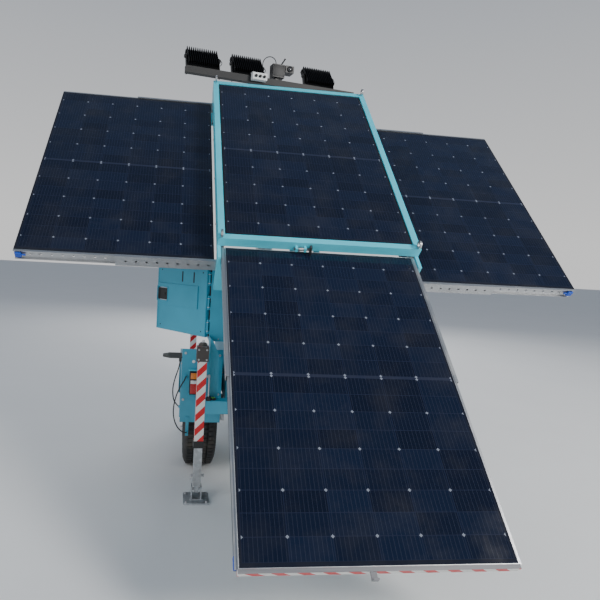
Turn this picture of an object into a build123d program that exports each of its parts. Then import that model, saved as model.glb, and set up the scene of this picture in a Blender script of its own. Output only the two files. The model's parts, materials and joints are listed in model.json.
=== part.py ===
from build123d import *
import math
import os

# Solar lighting-tower trailer.  Millimetres, +Z up, +X to the trailer's right seen from its
# tail, +Y towards the tow coupler.  The origin is on the ground under the middle of the box.

os.makedirs("parts", exist_ok=True)

# ---------------------------------------------------------------- solar modules
module_long = 1722.0      # up the slope
module_wide = 1134.0      # across
module_thick = 35.0
module_wall = 3.0         # extruded rim
module_flange = 26.0      # bottom flange of the rim
flange_thick = 3.0
ledge_wide = 9.0
laminate_thick = 5.0
laminate_inset = 1.0      # glass below the rim's top

# ---------------------------------------------------------------- array stack
tilt = 45.0               # slope at rest, degrees
pivot_height = 1450.0
pivot_radius = 15.0
stack_glass = 340.0       # top module's face above the pivot, square to the slope
lower_drop = 60.0         # lower panel's face below the top one
left_drop = 140.0
right_drop = 240.0
top_front = -70.0         # top module's lower edge, along the slope from the pivot
wing_shift = 70.0         # wings sit this much further down the slope
lower_travel = 1770.0
wing_travel = 1190.0
frame_tube = 40.0
frame_gap = 5.0           # module to frame tube
frame_lip = 5.0           # frame tube above the glass
rail_deep = 60.0          # front rail
rail_gap = 2.0
sheet = 3.0               # wall of the folded frame members
side_plate = 20.0
cradle_beam = 40.0

# ---------------------------------------------------------------- telescopic slides
slide_wall = 2.5
slide_depth = 25.0        # frame to module
slide_gap = 3.0           # between nested flanges
slide_side_gap = 1.0
wing_slide = 87.0         # outer member's height
wing_slide_long = 1200.0
lower_slide = 50.0
lower_slide_long = 1764.0
slide_hole = 7.0
slide_pitch = 60.0
bar_deep = 18.0           # striped end bar of the lower panel
bar_thick = 35.0
bar_over = 3.0            # its ends beyond the module, inside the slides when stowed
hook_reach = 34.0         # clears the front rail when the panel is stowed
hook_wide = 26.0
hook_x = -45.0
hook_rise = 18.0
hook_thick = 8.0

# ---------------------------------------------------------------- chassis and body
stem_long = 330.0         # single tube ahead of the drawbar's triangle
stem_half = 60.0
socket_long = 140.0       # coupler ahead of the stem
ball_back = 50.0          # ball's middle behind the coupler's nose
coupler_reach = 2650.0    # tilt pivot to the coupler's nose
rail_x = 420.0
rail_wide = 50.0
rail_high = 80.0
rail_top = 550.0
rail_past = 120.0         # rails beyond the mast's middle
cross_half = 30.0         # half a cross member
cross_ahead = 180.0       # of the wheel's middle
cross_behind = 420.0
body_half = 611.0
body_wall = 3.0
body_front = 45.0         # body's face behind the tilt pivot
body_long = 1535.0
body_floor = 960.0
body_top = 1440.0
roof_thick = 4.0
box_half = 480.0
box_long = 1240.0
box_ahead = 100.0         # of the body's face
battery_size = (380.0, 210.0, 260.0)
battery_pitch = (420.0, 250.0)
battery_count = (2, 4)
door_long = 520.0
door_high = 450.0
door_thick = 22.0
door_open = 39.0
door_drop = 7.0           # door's top below the body's
door_back = 20.0          # door's hinged edge behind the body's face
opening_inset = 12.0      # opening's edge inside the door's
hinge_inset = 70.0        # outer hinges from the door's ends
slot_half = 50.0
hinge_knuckle = 7.0       # radius of a door's hinge knuckle
hinge_pin = 3.0
knuckle_long = 60.0       # on the door
leaf_long = 15.0          # on the cabinet, above and below each door knuckle
strip_start = 85.0        # raised strip across the door
strip_half = 75.0
strip_thick = 6.0
handle_drop = 200.0       # the strip's and the latch's middle below the door's top
handle_y = 455.0          # the latch's middle from the door's hinged edge
latch_half = 50.0         # paddle, along the door
latch_high = 40.0         # half its height
latch_gap = 5.0           # round it in its recess
latch_pin = 2.5
latch_plate = 7.0

wheel_radius = 350.0
wheel_width = 225.0
wheel_x = 627.0
wheel_y = 480.0           # behind the tilt pivot
rim_radius = 190.5
axle_tube = 70.0
axle_behind = 110.0       # torsion arms put the wheels this far ahead of the tube
arm_thick = 25.0
arm_half = 35.0           # half the arm's height at the spindle
spindle_radius = 17.5
fender_inner = 510.0
fender_outer = 776.0
fender_crown = 765.0      # over the wheel
fender_top = 897.0        # of the plate at the tail end
return_top = 845.0        # side flange that carries the step
return_long = 220.0
fender_skirt = 409.0
fender_half = 390.0
fender_wall = 3.0
fender_clear = 25.0       # arch outside the tyre
bracket_y = 250.0         # fender brackets from the wheel's middle
bracket_half = 20.0
bracket_drop = 60.0       # bracket below the crown
bracket_thick = 6.0
gland_radius = 9.0
step_wide = 128.0
step_long = 150.0
step_thick = 12.0
step_clip = 45.0          # clipped outer corners
step_top = 840.0
tail_half = 28.0          # tail lamp's shell
tail_deep = 46.0
tail_z = (605.0, 757.0)
lens_half = 22.0
amber_z = (712.0, 750.0)
red_z = (615.0, 700.0)

jack_x = 660.0
jack_front = -170.0       # from the tilt pivot
jack_rear = 1335.0
jack_tube = 55.0
jack_wall = 2.0
jack_slack = 0.5
jack_top = 964.0
jack_low = 336.0
cap_wide = 74.0
cap_high = 92.0
foot_wide = 160.0
foot_thick = 12.0
foot_round = 18.0
leg_low = 95.0            # tube's open end above the ground
leg_top = 640.0
leg_wall = 4.0
ear_top = 92.0
pin_height = 70.0         # foot's pin above the ground
hole_height = 155.0
collar_high = 44.0        # at the sleeve's lower end
collar_out = 5.0
beam_size = 80.0

# ---------------------------------------------------------------- mast and lamps
mast_y = 1785.0           # behind the tilt pivot
mast_size = 140.0
mast_wall = 5.0
mast_step = 16.0          # each section is this much narrower
mast_top = 2950.0
section_rise = 50.0
mast_lift = 80.0
bar_half = 845.0
bar_size = 60.0
bar_top = 3212.0
head_yaw = 11.0
lamp_wide = 300.0
lamp_high = 215.0
lamp_deep = 70.0
lamp_pitch = 38.0
lamp_out = 90.0
lamp_up = 118.0
lamp_places = (-675.0, -240.0, 500.0)
junction_x = (-234.0, -93.0)     # white box on the bar's front, along the bar
junction_z = (-45.0, 15.0)
junction_deep = 60.0
fin_pitch = 20.0
fin_thick = 6.0
pin_radius = 8.0

# ---------------------------------------------------------------- tilt actuator
act_pin = 12.0
act_out = 450.0           # upper pin from the tilt pivot, up the slope
act_w = 12.0
act_y = 260.0             # lower pin behind the tilt pivot
act_z = -320.0
act_body = 30.0
act_rod = 14.0
tube_clear = 33.0         # closed tube to the upper pin
rod_clear = 16.0          # closed rod end above the tube's foot
eye_slack = 8.0

# ---------------------------------------------------------------- cords
cord_radius = 4.0

running_gap = 0.05        # radial play of everything that turns on a pin

# ---------------------------------------------------------------- worked out
top_rear = top_front + module_long
wing_front = top_front - wing_shift
wing_rear = wing_front + module_long
lower_glass = stack_glass - lower_drop
left_glass = stack_glass - left_drop
right_glass = stack_glass - right_drop
lower_rear = top_rear - lower_travel
lower_front = lower_rear - module_long
frame_inner = module_wide / 2 + frame_gap
frame_outer = frame_inner + frame_tube
frame_top = stack_glass + frame_lip
frame_low = stack_glass - module_thick
rail_rear = top_front - rail_gap
rail_front = rail_rear - frame_tube
rail_low = frame_top - rail_deep
plate_low = lower_glass + 2.0 - lower_slide - 6.0
beam_front_in = wing_front - slide_depth
beam_rear_in = wing_rear + slide_depth
beam_front_out = beam_front_in - cradle_beam
beam_rear_out = beam_rear_in + cradle_beam
left_slide_mid = left_glass - module_thick + 1.0
right_slide_mid = right_glass - module_thick + 1.0
lower_slide_mid = lower_glass + 2.0 - lower_slide / 2
bar_front = lower_front - bar_deep
hook_front = bar_front - hook_reach

cos_t = math.cos(math.radians(tilt))
sin_t = math.sin(math.radians(tilt))
tip_offset = cos_t * hook_front - sin_t * (lower_glass + 2.0 + hook_rise)
pivot_y = -(tip_offset + coupler_reach) / 2
slope = Plane(origin=(0, pivot_y, pivot_height), x_dir=(1, 0, 0), z_dir=(0, -sin_t, cos_t))

nose_y = pivot_y + coupler_reach
face_y = pivot_y + body_front
body_end = face_y + body_long
box_front = face_y - box_ahead
wheel_mid = pivot_y + wheel_y
jack_ys = {"front": pivot_y + jack_front, "rear": pivot_y + jack_rear}
beam_mids = {"front": jack_ys["front"] + 15.0, "rear": jack_ys["rear"]}
mast_mid = pivot_y + mast_y
rail_low_z = rail_top - rail_high
head = Plane(origin=(0, mast_mid, bar_top), z_dir=(0, 0, 1),
             x_dir=(math.cos(math.radians(head_yaw)), math.sin(math.radians(head_yaw)), 0))

sides = {"left": -1, "right": 1}


def block(x0, x1, y0, y1, z0, z1, mode=Mode.ADD):
    """Box between two opposite corners of the current plane."""
    with Locations(((x0 + x1) / 2, (y0 + y1) / 2, (z0 + z1) / 2)):
        Box(abs(x1 - x0), abs(y1 - y0), abs(z1 - z0), mode=mode)


def rod(axis, centre, radius, length, mode=Mode.ADD):
    """Cylinder about a point, lying along x, y or z of the current plane."""
    turn = {"x": (0, 90, 0), "y": (90, 0, 0), "z": (0, 0, 0)}[axis]
    with Locations(centre):
        Cylinder(radius, length, rotation=turn, mode=mode)


def slab(plane, outline, thick, mode=Mode.ADD):
    """Flat piece with a straight-sided outline, raised from a plane."""
    with BuildSketch(plane) as shape:
        with BuildLine():
            Polyline(*outline, close=True)
        make_face()
    extrude(shape.sketch, amount=thick, mode=mode)


def save(piece, name):
    """Label a finished piece and write it out under the same name."""
    piece.part.label = name
    export_step(piece.part, f"parts/{name}.step")


def module_rim(mid_x, v_low, glass):
    """Extruded rim of one solar module: outer wall, bottom flange and glass ledge."""
    half = module_wide / 2
    v_high = v_low + module_long
    low = glass - module_thick
    seat = glass - laminate_inset - laminate_thick
    block(mid_x - half, mid_x + half, v_low, v_high, low, glass)
    for inset, z0, z1 in ((module_flange, low - 1, low + flange_thick),
                          (module_wall, low + flange_thick, seat - flange_thick),
                          (ledge_wide, seat - flange_thick, seat),
                          (module_wall, seat, glass + 1)):
        block(mid_x - half + inset, mid_x + half - inset, v_low + inset, v_high - inset,
              z0, z1, Mode.SUBTRACT)


def module_laminate(mid_x, v_low, glass):
    """Glass laminate that lies on the rim's ledge."""
    half = module_wide / 2 - module_wall - running_gap
    top = glass - laminate_inset
    block(mid_x - half, mid_x + half, v_low + module_wall + running_gap,
          v_low + module_long - module_wall - running_gap, top - laminate_thick, top)


def member(kind, run, start, end, face, inward, mid, tall):
    """One telescopic slide member of a nest.

    run is "x" or "y", the way the member is long.  face is the outer member's back and
    inward is +1 or -1, the way from there to the module.  The outer and middle members are
    channels open to the module; the inner one is open the other way, its web on the module.
    """
    step = {"outer": 0, "middle": 1, "inner": 2}[kind]
    half = tall / 2 - step * (slide_wall + slide_gap)
    if kind == "inner":
        web = (slide_depth - slide_wall, slide_depth)
        lips = (slide_depth - 14.0, slide_depth - slide_wall)
    else:
        back = step * (slide_wall + slide_side_gap)
        web = (back, back + slide_wall)
        lips = (back + slide_wall, slide_depth - 5.0)
    for near, far, low, high in ((*web, -half, half),
                                 (*lips, half - slide_wall, half),
                                 (*lips, -half, slide_wall - half)):
        a = face + inward * near
        b = face + inward * far
        if run == "x":
            block(start, end, a, b, mid + low, mid + high)
        else:
            block(a, b, start, end, mid + low, mid + high)
    if kind != "outer":
        count = int((end - start - slide_pitch) // slide_pitch)
        centre = (start + end) / 2
        depth = face + inward * (web[0] + web[1]) / 2
        for i in range(count):
            along = centre + (i - (count - 1) / 2) * slide_pitch
            spot = (along, depth, mid) if run == "x" else (depth, along, mid)
            rod("y" if run == "x" else "x", spot, slide_hole, slide_wall + 1, Mode.SUBTRACT)


def wing_pair(kind, start, end, mid):
    """The two slides of a wing, at its lower and upper edges."""
    member(kind, "x", start, end, beam_front_in, 1, mid, wing_slide)
    member(kind, "x", start, end, beam_rear_in, -1, mid, wing_slide)


def lower_pair(kind, start, end):
    """The two slides of the lower panel, at its sides."""
    face = module_wide / 2 + slide_depth
    member(kind, "y", start, end, -face, 1, lower_slide_mid, lower_slide)
    member(kind, "y", start, end, face, -1, lower_slide_mid, lower_slide)


def cord(points, name):
    """Tube of a cord: straight runs joined by the largest arcs that the runs allow."""
    radii = []
    for a, b, c in zip(points, points[1:], points[2:]):
        back = Vector(*b) - Vector(*a)
        ahead = Vector(*c) - Vector(*b)
        turn = math.radians(back.get_angle(ahead))
        radii.append(0.45 * min(back.length, ahead.length) / math.tan(turn / 2))
    print(name, "radii", [round(r) for r in radii])
    with BuildLine():
        route = FilletPolyline(*points, radius=radii)
    with BuildSketch(Plane(origin=route @ 0, z_dir=route % 0)) as ring:
        Circle(cord_radius)
    sweep(ring.sketch, path=route)
    print(name, "length", round(route.length, 1))


# ================================================================ chassis
rail_start = beam_mids["front"] - beam_size / 2
rail_end = mast_mid + rail_past
with BuildPart() as chassis_frame:
    for side in sides.values():
        block(side * (rail_x - rail_wide / 2), side * (rail_x + rail_wide / 2),
              rail_start, rail_end, rail_low_z, rail_top)
    for y in (rail_start + cross_half, wheel_mid - cross_ahead, wheel_mid + cross_behind, mast_mid,
              rail_end - cross_half):
        block(-rail_x + rail_wide / 2, rail_x - rail_wide / 2, y - cross_half, y + cross_half,
              rail_low_z, rail_top)
    for side in sides.values():
        block(side * (rail_x - rail_wide / 2 + sheet), side * (rail_x + rail_wide / 2 - sheet),
              rail_start + sheet, rail_end - sheet, rail_low_z - 1, rail_top - sheet, Mode.SUBTRACT)
save(chassis_frame, "chassis_frame")

with BuildPart() as jack_beams:
    reach = jack_x - jack_tube / 2
    for y in beam_mids.values():
        block(-reach, reach, y - beam_size / 2, y + beam_size / 2, rail_top, rail_top + beam_size)
        block(-reach + sheet, reach - sheet, y - beam_size / 2 + sheet, y + beam_size / 2 - sheet,
              rail_top - 1, rail_top + beam_size - sheet, Mode.SUBTRACT)
    post_y = beam_mids["front"] + beam_size / 2 - sheet
    for side in sides.values():
        slab(Plane(origin=(0, post_y, 0), x_dir=(1, 0, 0), z_dir=(0, -1, 0)),
             [(side * (body_half + 1), rail_top + beam_size), (side * (body_half + 1), body_floor + 40),
              (side * (body_half - 11), body_floor + 40), (side * (body_half - 55), body_floor - 55),
              (side * (body_half - 61), rail_top + beam_size)], sheet)
        block(side * (body_half + 1), side * (body_half - 5), post_y, face_y,
              body_floor - 60, body_floor + 40)
save(jack_beams, "jack_beams")

arm_x = box_half - 8.0
with BuildPart() as axle_beam:
    tube = axle_tube
    tube_y = wheel_mid + axle_behind
    block(-arm_x, arm_x, tube_y - tube / 2, tube_y + tube / 2, rail_low_z - tube, rail_low_z)
    for side in sides.values():
        slab(Plane(origin=(side * (arm_x - arm_thick), 0, 0), x_dir=(0, 1, 0), z_dir=(side, 0, 0))
             if side > 0 else
             Plane(origin=(side * arm_x, 0, 0), x_dir=(0, 1, 0), z_dir=(1, 0, 0)),
             [(wheel_mid - 40, wheel_radius - arm_half), (wheel_mid + 30, wheel_radius - arm_half),
              (tube_y + tube / 2, rail_low_z - tube), (tube_y + tube / 2, rail_low_z),
              (tube_y - tube / 2, rail_low_z), (wheel_mid - 40, wheel_radius + arm_half)], arm_thick)
        rod("x", (side * (arm_x - 1 + wheel_x + 54) / 2, wheel_mid, wheel_radius),
            spindle_radius, wheel_x + 56 - arm_x)
save(axle_beam, "axle_beam")

bar_end = nose_y - stem_long
with BuildPart() as drawbar:
    for side in sides.values():
        slab(Plane.XY.offset(rail_low_z),
             [(side * (rail_x + rail_wide / 2), rail_end), (side * (rail_x - rail_wide), rail_end),
              (side * stem_half / 2, bar_end - stem_half), (side * stem_half, bar_end + 40)],
             rail_high)
    block(-stem_half, stem_half, bar_end - 40, nose_y - socket_long, rail_low_z, rail_top)
    block(-stem_half + sheet, stem_half - sheet, bar_end - 60, nose_y - socket_long + 1,
          rail_low_z + sheet, rail_top - sheet, Mode.SUBTRACT)
save(drawbar, "drawbar")

ball_y = nose_y - ball_back
socket_radius = 25.4
with BuildPart() as tow_coupler:
    block(-45, 45, nose_y - socket_long, nose_y - 90, rail_low_z + 10, rail_top - 5)
    with Locations((0, ball_y, rail_low_z + 42)):
        Cylinder(50, 65)
    block(-40, 40, nose_y - 100, ball_y, rail_low_z + 15, rail_top - 10)
    rod("z", (0, ball_y, rail_low_z + 25), socket_radius, 60, Mode.SUBTRACT)
    for side in sides.values():
        block(side * 14, side * 20, ball_y - 20, ball_y + 10, rail_top - 12, rail_top + 18)
    rod("x", (0, ball_y - 5, rail_top + 6), 5, 40)
save(tow_coupler, "tow_coupler")

with BuildPart() as coupler_latch:
    rod("x", (0, ball_y - 5, rail_top + 6), 9, 24)
    block(-10, 10, ball_y - 110, ball_y - 5, rail_top + 6, rail_top + 14)
    block(-14, 14, ball_y - 135, ball_y - 108, rail_top + 4, rail_top + 20)
    rod("x", (0, ball_y - 5, rail_top + 6), 5 + running_gap, 40, Mode.SUBTRACT)
save(coupler_latch, "coupler_latch")

# ================================================================ body
with BuildPart() as battery_box:
    block(-box_half, box_half, box_front, box_front + box_long, rail_top, body_floor)
    block(-box_half + body_wall, box_half - body_wall, box_front + body_wall,
          box_front + box_long - body_wall, rail_top + body_wall, body_floor + 1, Mode.SUBTRACT)
save(battery_box, "battery_box")

with BuildPart() as batteries:
    with Locations((0, box_front + box_long / 2, rail_top + body_wall)):
        with GridLocations(*battery_pitch, *battery_count):
            Box(*battery_size, align=(Align.CENTER, Align.CENTER, Align.MIN))
save(batteries, "batteries")

door_low = body_top - door_drop - door_high
door_front = face_y + door_back
opening_front = door_front + opening_inset
opening_rear = door_front + door_long - opening_inset
slot_front = pivot_y + act_y - 50.0
slot_rear = pivot_y + act_out + 45.0
door_inner = body_half + 2.0
hinge_x = door_inner + door_thick / 2
hinge_y = door_front - hinge_knuckle
hinge_heights = (door_low + hinge_inset, door_low + door_high / 2,
                 door_low + door_high - hinge_inset)
leaf_step = (knuckle_long + leaf_long) / 2 + 0.5
with BuildPart() as cabinet_shell:
    block(-body_half, body_half, face_y, body_end, body_floor, body_top)
    block(-body_half + body_wall, body_half - body_wall, face_y + body_wall, body_end - body_wall,
          body_floor + body_wall, body_top + 1, Mode.SUBTRACT)
    block(-body_half - 1, body_half + 1, opening_front, opening_rear,
          door_low + opening_inset, door_low + door_high - opening_inset - 3, Mode.SUBTRACT)
    for side in sides.values():
        for z in hinge_heights:
            for level in (z - leaf_step, z + leaf_step):
                rod("z", (side * hinge_x, hinge_y, level), hinge_knuckle - 0.5, leaf_long)
                block(side * (body_half - 1), side * hinge_x, hinge_y - 2, hinge_y + 2,
                      level - leaf_long / 2, level + leaf_long / 2)
            rod("z", (side * hinge_x, hinge_y, z), hinge_pin, knuckle_long + 2 * leaf_long)
save(cabinet_shell, "cabinet_shell")

with BuildPart() as cabinet_roof:
    block(-body_half, body_half, face_y, body_end, body_top, body_top + roof_thick)
    block(-slot_half, slot_half, slot_front, slot_rear, body_top - 1, body_top + roof_thick + 1,
          Mode.SUBTRACT)
save(cabinet_roof, "cabinet_roof")

handle_z = door_low + door_high - handle_drop
latch_x = door_inner + door_thick + 1.5
latch_y = door_front + handle_y - latch_half + 5
for name, side in sides.items():
    with BuildPart() as door:
        block(side * door_inner, side * (door_inner + door_thick), door_front,
              door_front + door_long, door_low, door_low + door_high)
        block(side * (door_inner - 1), side * (door_inner + door_thick - sheet), door_front + sheet,
              door_front + door_long - sheet, door_low + sheet, door_low + door_high - sheet,
              Mode.SUBTRACT)
        face = door_inner + door_thick
        block(side * face, side * (face + strip_thick), door_front + strip_start,
              door_front + door_long - 8, handle_z - strip_half, handle_z + strip_half)
        block(side * (face - 5), side * (face + strip_thick + 1),
              door_front + handle_y - latch_half - latch_gap,
              door_front + handle_y + latch_half + latch_gap,
              handle_z - latch_high - latch_gap, handle_z + latch_high + latch_gap, Mode.SUBTRACT)
        for z in hinge_heights:
            rod("z", (side * hinge_x, hinge_y, z), hinge_knuckle, knuckle_long)
            block(side * (hinge_x - 2), side * (hinge_x + 2), hinge_y, door_front + 2,
                  z - knuckle_long / 2, z + knuckle_long / 2)
            rod("z", (side * hinge_x, hinge_y, z), hinge_pin + running_gap, knuckle_long + 2,
                Mode.SUBTRACT)
        rod("z", (side * latch_x, latch_y, handle_z), latch_pin, 2 * (latch_high + latch_gap) + 4)
    if side < 0:
        swung = door.part.rotate(Axis((side * hinge_x, hinge_y, 0), (0, 0, 1)), door_open)
        with BuildPart() as door:
            add(swung)
    save(door, f"{name}_door")

    with BuildPart() as latch:
        block(side * (latch_x - latch_plate / 2), side * (latch_x + latch_plate / 2),
              latch_y - 5, door_front + handle_y + latch_half,
              handle_z - latch_high, handle_z + latch_high)
        fillet(latch.edges().filter_by(Axis.X), 8)
        rod("z", (side * latch_x, latch_y, handle_z), latch_pin + running_gap, 2 * latch_high + 2,
            Mode.SUBTRACT)
    if side < 0:
        swung = latch.part.rotate(Axis((side * hinge_x, hinge_y, 0), (0, 0, 1)), door_open)
        with BuildPart() as latch:
            add(swung)
    save(latch, f"{name}_latch")

# ================================================================ fenders and steps
side_x = -fender_outer - 12.0
tag_y = wheel_mid - fender_half
with BuildPart() as fenders:
    for side in sides.values():
        x_in = side * fender_inner
        x_out = side * fender_outer
        block(x_in, x_out, tag_y, wheel_mid + fender_half, fender_skirt, fender_crown)
        block(x_in - side, x_out - side * fender_wall, tag_y + fender_wall,
              wheel_mid + fender_half - fender_wall, fender_skirt - 1, fender_crown - fender_wall,
              Mode.SUBTRACT)
        block(x_in, x_out, tag_y, tag_y + fender_wall, fender_crown - 1, fender_top)
        block(x_out - side * fender_wall, x_out, tag_y, tag_y + return_long,
              fender_crown - 1, return_top)
        rod("x", (x_out, wheel_mid, wheel_radius), wheel_radius + fender_clear, 20, Mode.SUBTRACT)
        for y in (wheel_mid - bracket_y, wheel_mid + bracket_y):
            block(side * box_half, x_in + side, y - bracket_half, y + bracket_half,
                  fender_crown - bracket_drop, fender_crown - bracket_drop + bracket_thick)
            block(x_in, x_in + side * 2 * bracket_half, y - bracket_half, y + bracket_half,
                  fender_crown - bracket_drop, fender_crown - 1)
    block(-736, -716, tag_y - 6, tag_y, 318, fender_skirt + 40)
    rod("y", (-746, tag_y - 7, 719), gland_radius, 14)
    rod("y", (-726, tag_y - 11, 345), gland_radius, 12)
    rod("x", (-fender_outer - 5, tag_y + 31, 504), gland_radius, 12)
save(fenders, "fenders")

with BuildPart() as side_steps:
    y0 = tag_y + 30
    y1 = y0 + step_long
    step_low = step_top - step_thick
    for side in sides.values():
        near = side * fender_outer
        clip = side * (fender_outer + step_wide - step_clip)
        far = side * (fender_outer + step_wide)
        slab(Plane.XY.offset(step_low),
             [(near, y0), (clip, y0), (far, y0 + step_clip), (far, y1 - step_clip), (clip, y1), (near, y1)],
             step_thick)
        block(near + side * 4, far - side * 6, y0 + step_clip + 3, y1 - step_clip - 3,
              step_low - 1, step_top - sheet, Mode.SUBTRACT)
    rod("z", (side_x, tag_y + 70, step_low - 13), gland_radius, 30)
save(side_steps, "side_steps")

lamp_x = 695.0
with BuildPart() as tail_lamps:
    shell_face = tag_y - tail_deep
    for side in sides.values():
        block(side * (lamp_x - tail_half), side * (lamp_x + tail_half), shell_face, tag_y, *tail_z)
        block(side * (lamp_x - lens_half), side * (lamp_x + lens_half), shell_face - 12, shell_face,
              *amber_z)
        block(side * (lamp_x - lens_half), side * (lamp_x + lens_half), shell_face - 8, shell_face,
              *red_z)
save(tail_lamps, "tail_lamps")

# ================================================================ wheels
for name, side in sides.items():
    centre = (side * wheel_x, wheel_mid, wheel_radius)
    section = Plane(origin=centre, x_dir=(1, 0, 0), z_dir=(0, -1, 0))
    spin = Axis(centre, (1, 0, 0))
    half = wheel_width / 2
    with BuildPart() as tyre:
        with BuildSketch(section):
            with BuildLine():
                Polyline((-half + 30, rim_radius), (half - 30, rim_radius), (half - 12, rim_radius + 18),
                         (half, rim_radius + 75), (half - 4, wheel_radius - 40),
                         (half - 22, wheel_radius - 8), (half - 45, wheel_radius),
                         (-half + 45, wheel_radius), (-half + 22, wheel_radius - 8),
                         (-half + 4, wheel_radius - 40), (-half, rim_radius + 75),
                         (-half + 12, rim_radius + 18), close=True)
            make_face()
        revolve(axis=spin)
        with BuildSketch(section):
            with BuildLine():
                Polyline((-half + 38, rim_radius - 1), (half - 38, rim_radius - 1),
                         (half - 22, rim_radius + 24), (half - 12, rim_radius + 75),
                         (half - 26, wheel_radius - 30), (-half + 26, wheel_radius - 30),
                         (-half + 12, rim_radius + 75), (-half + 22, rim_radius + 24), close=True)
            make_face()
        revolve(axis=spin, mode=Mode.SUBTRACT)
    save(tyre, f"{name}_tyre")

    with BuildPart() as rim:
        with BuildSketch(section):
            with BuildLine():
                Polyline((-half + 28, rim_radius - 6), (-half + 28, rim_radius), (half - 28, rim_radius),
                         (half - 28, rim_radius - 6), (half - 60, rim_radius - 22),
                         (-half + 60, rim_radius - 22), close=True)
            make_face()
            with Locations((side * 12, 95)):
                Rectangle(6, 160)
            with Locations((side * 2, 46)):
                Rectangle(96, 36)
        revolve(axis=spin)
        plate = Plane(origin=(side * (wheel_x + 12) - 10, wheel_mid, wheel_radius), z_dir=(1, 0, 0))
        with BuildSketch(plate):
            with PolarLocations(125, 8):
                Circle(17)
        extrude(amount=20, mode=Mode.SUBTRACT)
        rod("x", centre, spindle_radius + running_gap, wheel_width, Mode.SUBTRACT)
    save(rim, f"{name}_rim")

# ================================================================ corner jacks
leg_half = jack_tube / 2 - jack_wall - jack_slack
with BuildPart() as jack_sleeves:
    for side in sides.values():
        for y in jack_ys.values():
            x = side * jack_x
            half = jack_tube / 2
            block(x - half, x + half, y - half, y + half, jack_low, jack_top - 5)
            block(x - cap_wide / 2, x + cap_wide / 2, y - cap_wide / 2, y + cap_wide / 2,
                  jack_top - cap_high, jack_top)
            block(x - half - collar_out, x + half + collar_out, y - half - collar_out,
                  y + half + collar_out, jack_low, jack_low + collar_high)
            block(x - half + jack_wall, x + half - jack_wall, y - half + jack_wall,
                  y + half - jack_wall, jack_low - 1, jack_top - 5, Mode.SUBTRACT)
save(jack_sleeves, "jack_sleeves")

for end, y in jack_ys.items():
    for name, side in sides.items():
        x = side * jack_x
        with BuildPart() as leg:
            block(x - leg_half, x + leg_half, y - leg_half, y + leg_half, leg_low, leg_top)
            block(x - leg_half + leg_wall, x + leg_half - leg_wall, y - leg_half + leg_wall,
                  y + leg_half - leg_wall, leg_low + 25, leg_top + 1,
                  Mode.SUBTRACT)
            rod("x", (x, y, hole_height), 8, 80, Mode.SUBTRACT)
            block(x - 40, x + 40, y - 34, y + 34, foot_thick, foot_thick + 6)
            for ear in (-1, 1):
                block(x + ear * (leg_half + 1), x + ear * (leg_half + 7), y - 30, y + 30, foot_thick,
                      ear_top)
            rod("x", (x, y, pin_height), 7, 2 * leg_half + 14)
            block(x - 12, x + 12, y - 12, y + 12, pin_height - 20, leg_low + 1)
            block(x - foot_wide / 2, x + foot_wide / 2, y - foot_wide / 2, y + foot_wide / 2, 0,
                  foot_thick)
            fillet(leg.edges().filter_by(Axis.Z).group_by(Axis.Z)[0]
                   .filter_by(lambda e: e.center().Z < 8), foot_round)
        save(leg, f"jack_leg_{end}_{name}")

# ================================================================ tilt pivot and actuator
lug_x = 400.0
lug_thick = 12.0
low_pin_y = pivot_y + act_y
low_pin_z = pivot_height + act_z
with BuildPart() as tilt_pivot:
    for side in sides.values():
        for off in (-18, 18):
            x = side * lug_x + off
            block(x - 6, x + 6, pivot_y, face_y, pivot_height - 30, pivot_height + 22)
            rod("x", (x, pivot_y, pivot_height), 30, lug_thick)
        rod("x", (side * lug_x, pivot_y, pivot_height), pivot_radius, 60)
    block(-body_half + body_wall, body_half - body_wall, low_pin_y - 30, low_pin_y + 30,
          low_pin_z - 110, low_pin_z - 50)
    for side in sides.values():
        block(side * 21, side * 29, low_pin_y - 28, low_pin_y + 28, low_pin_z - 51, low_pin_z + 22)
    rod("x", (0, low_pin_y, low_pin_z), act_pin, 58)
save(tilt_pivot, "tilt_pivot")

up_pin = slope.from_local_coords((0, act_out, act_w))
reach = Vector(0, up_pin.Y - low_pin_y, up_pin.Z - low_pin_z)
act_length = reach.length
aim = reach.normalized()
act_plane = Plane(origin=(0, low_pin_y, low_pin_z), x_dir=(1, 0, 0), z_dir=(aim.X, aim.Y, aim.Z))
closed_length = math.hypot(act_out - act_y, act_w - act_z)
tube_foot = 40.0
tube_end = closed_length - tube_clear
rod_long = closed_length - tube_foot - rod_clear
with BuildPart(act_plane) as tilt_actuator_body:
    rod("x", (0, 0, 0), 26, 40)
    block(-20, 20, -14, 14, 0, tube_foot + 5)
    rod("z", (0, 0, (tube_foot + tube_end) / 2), act_body, tube_end - tube_foot)
    rod("z", (0, act_body + 34, 122), 30, 130)
    block(-24, 24, 0, act_body + 34, tube_foot + 10, tube_foot + 38)
    rod("x", (0, 0, 0), act_pin + running_gap, 42, Mode.SUBTRACT)
    rod("z", (0, 0, tube_end / 2 + tube_foot + 12), act_rod + 1, tube_end, Mode.SUBTRACT)
save(tilt_actuator_body, "tilt_actuator_body")

with BuildPart(act_plane) as tilt_actuator_rod:
    rod("z", (0, 0, act_length - (rod_long + act_pin) / 2), act_rod, rod_long - act_pin)
    rod("x", (0, 0, act_length), act_pin + eye_slack + 9, 36)
    rod("x", (0, 0, act_length), act_pin + eye_slack, 38, Mode.SUBTRACT)
save(tilt_actuator_rod, "tilt_actuator_rod")

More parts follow.
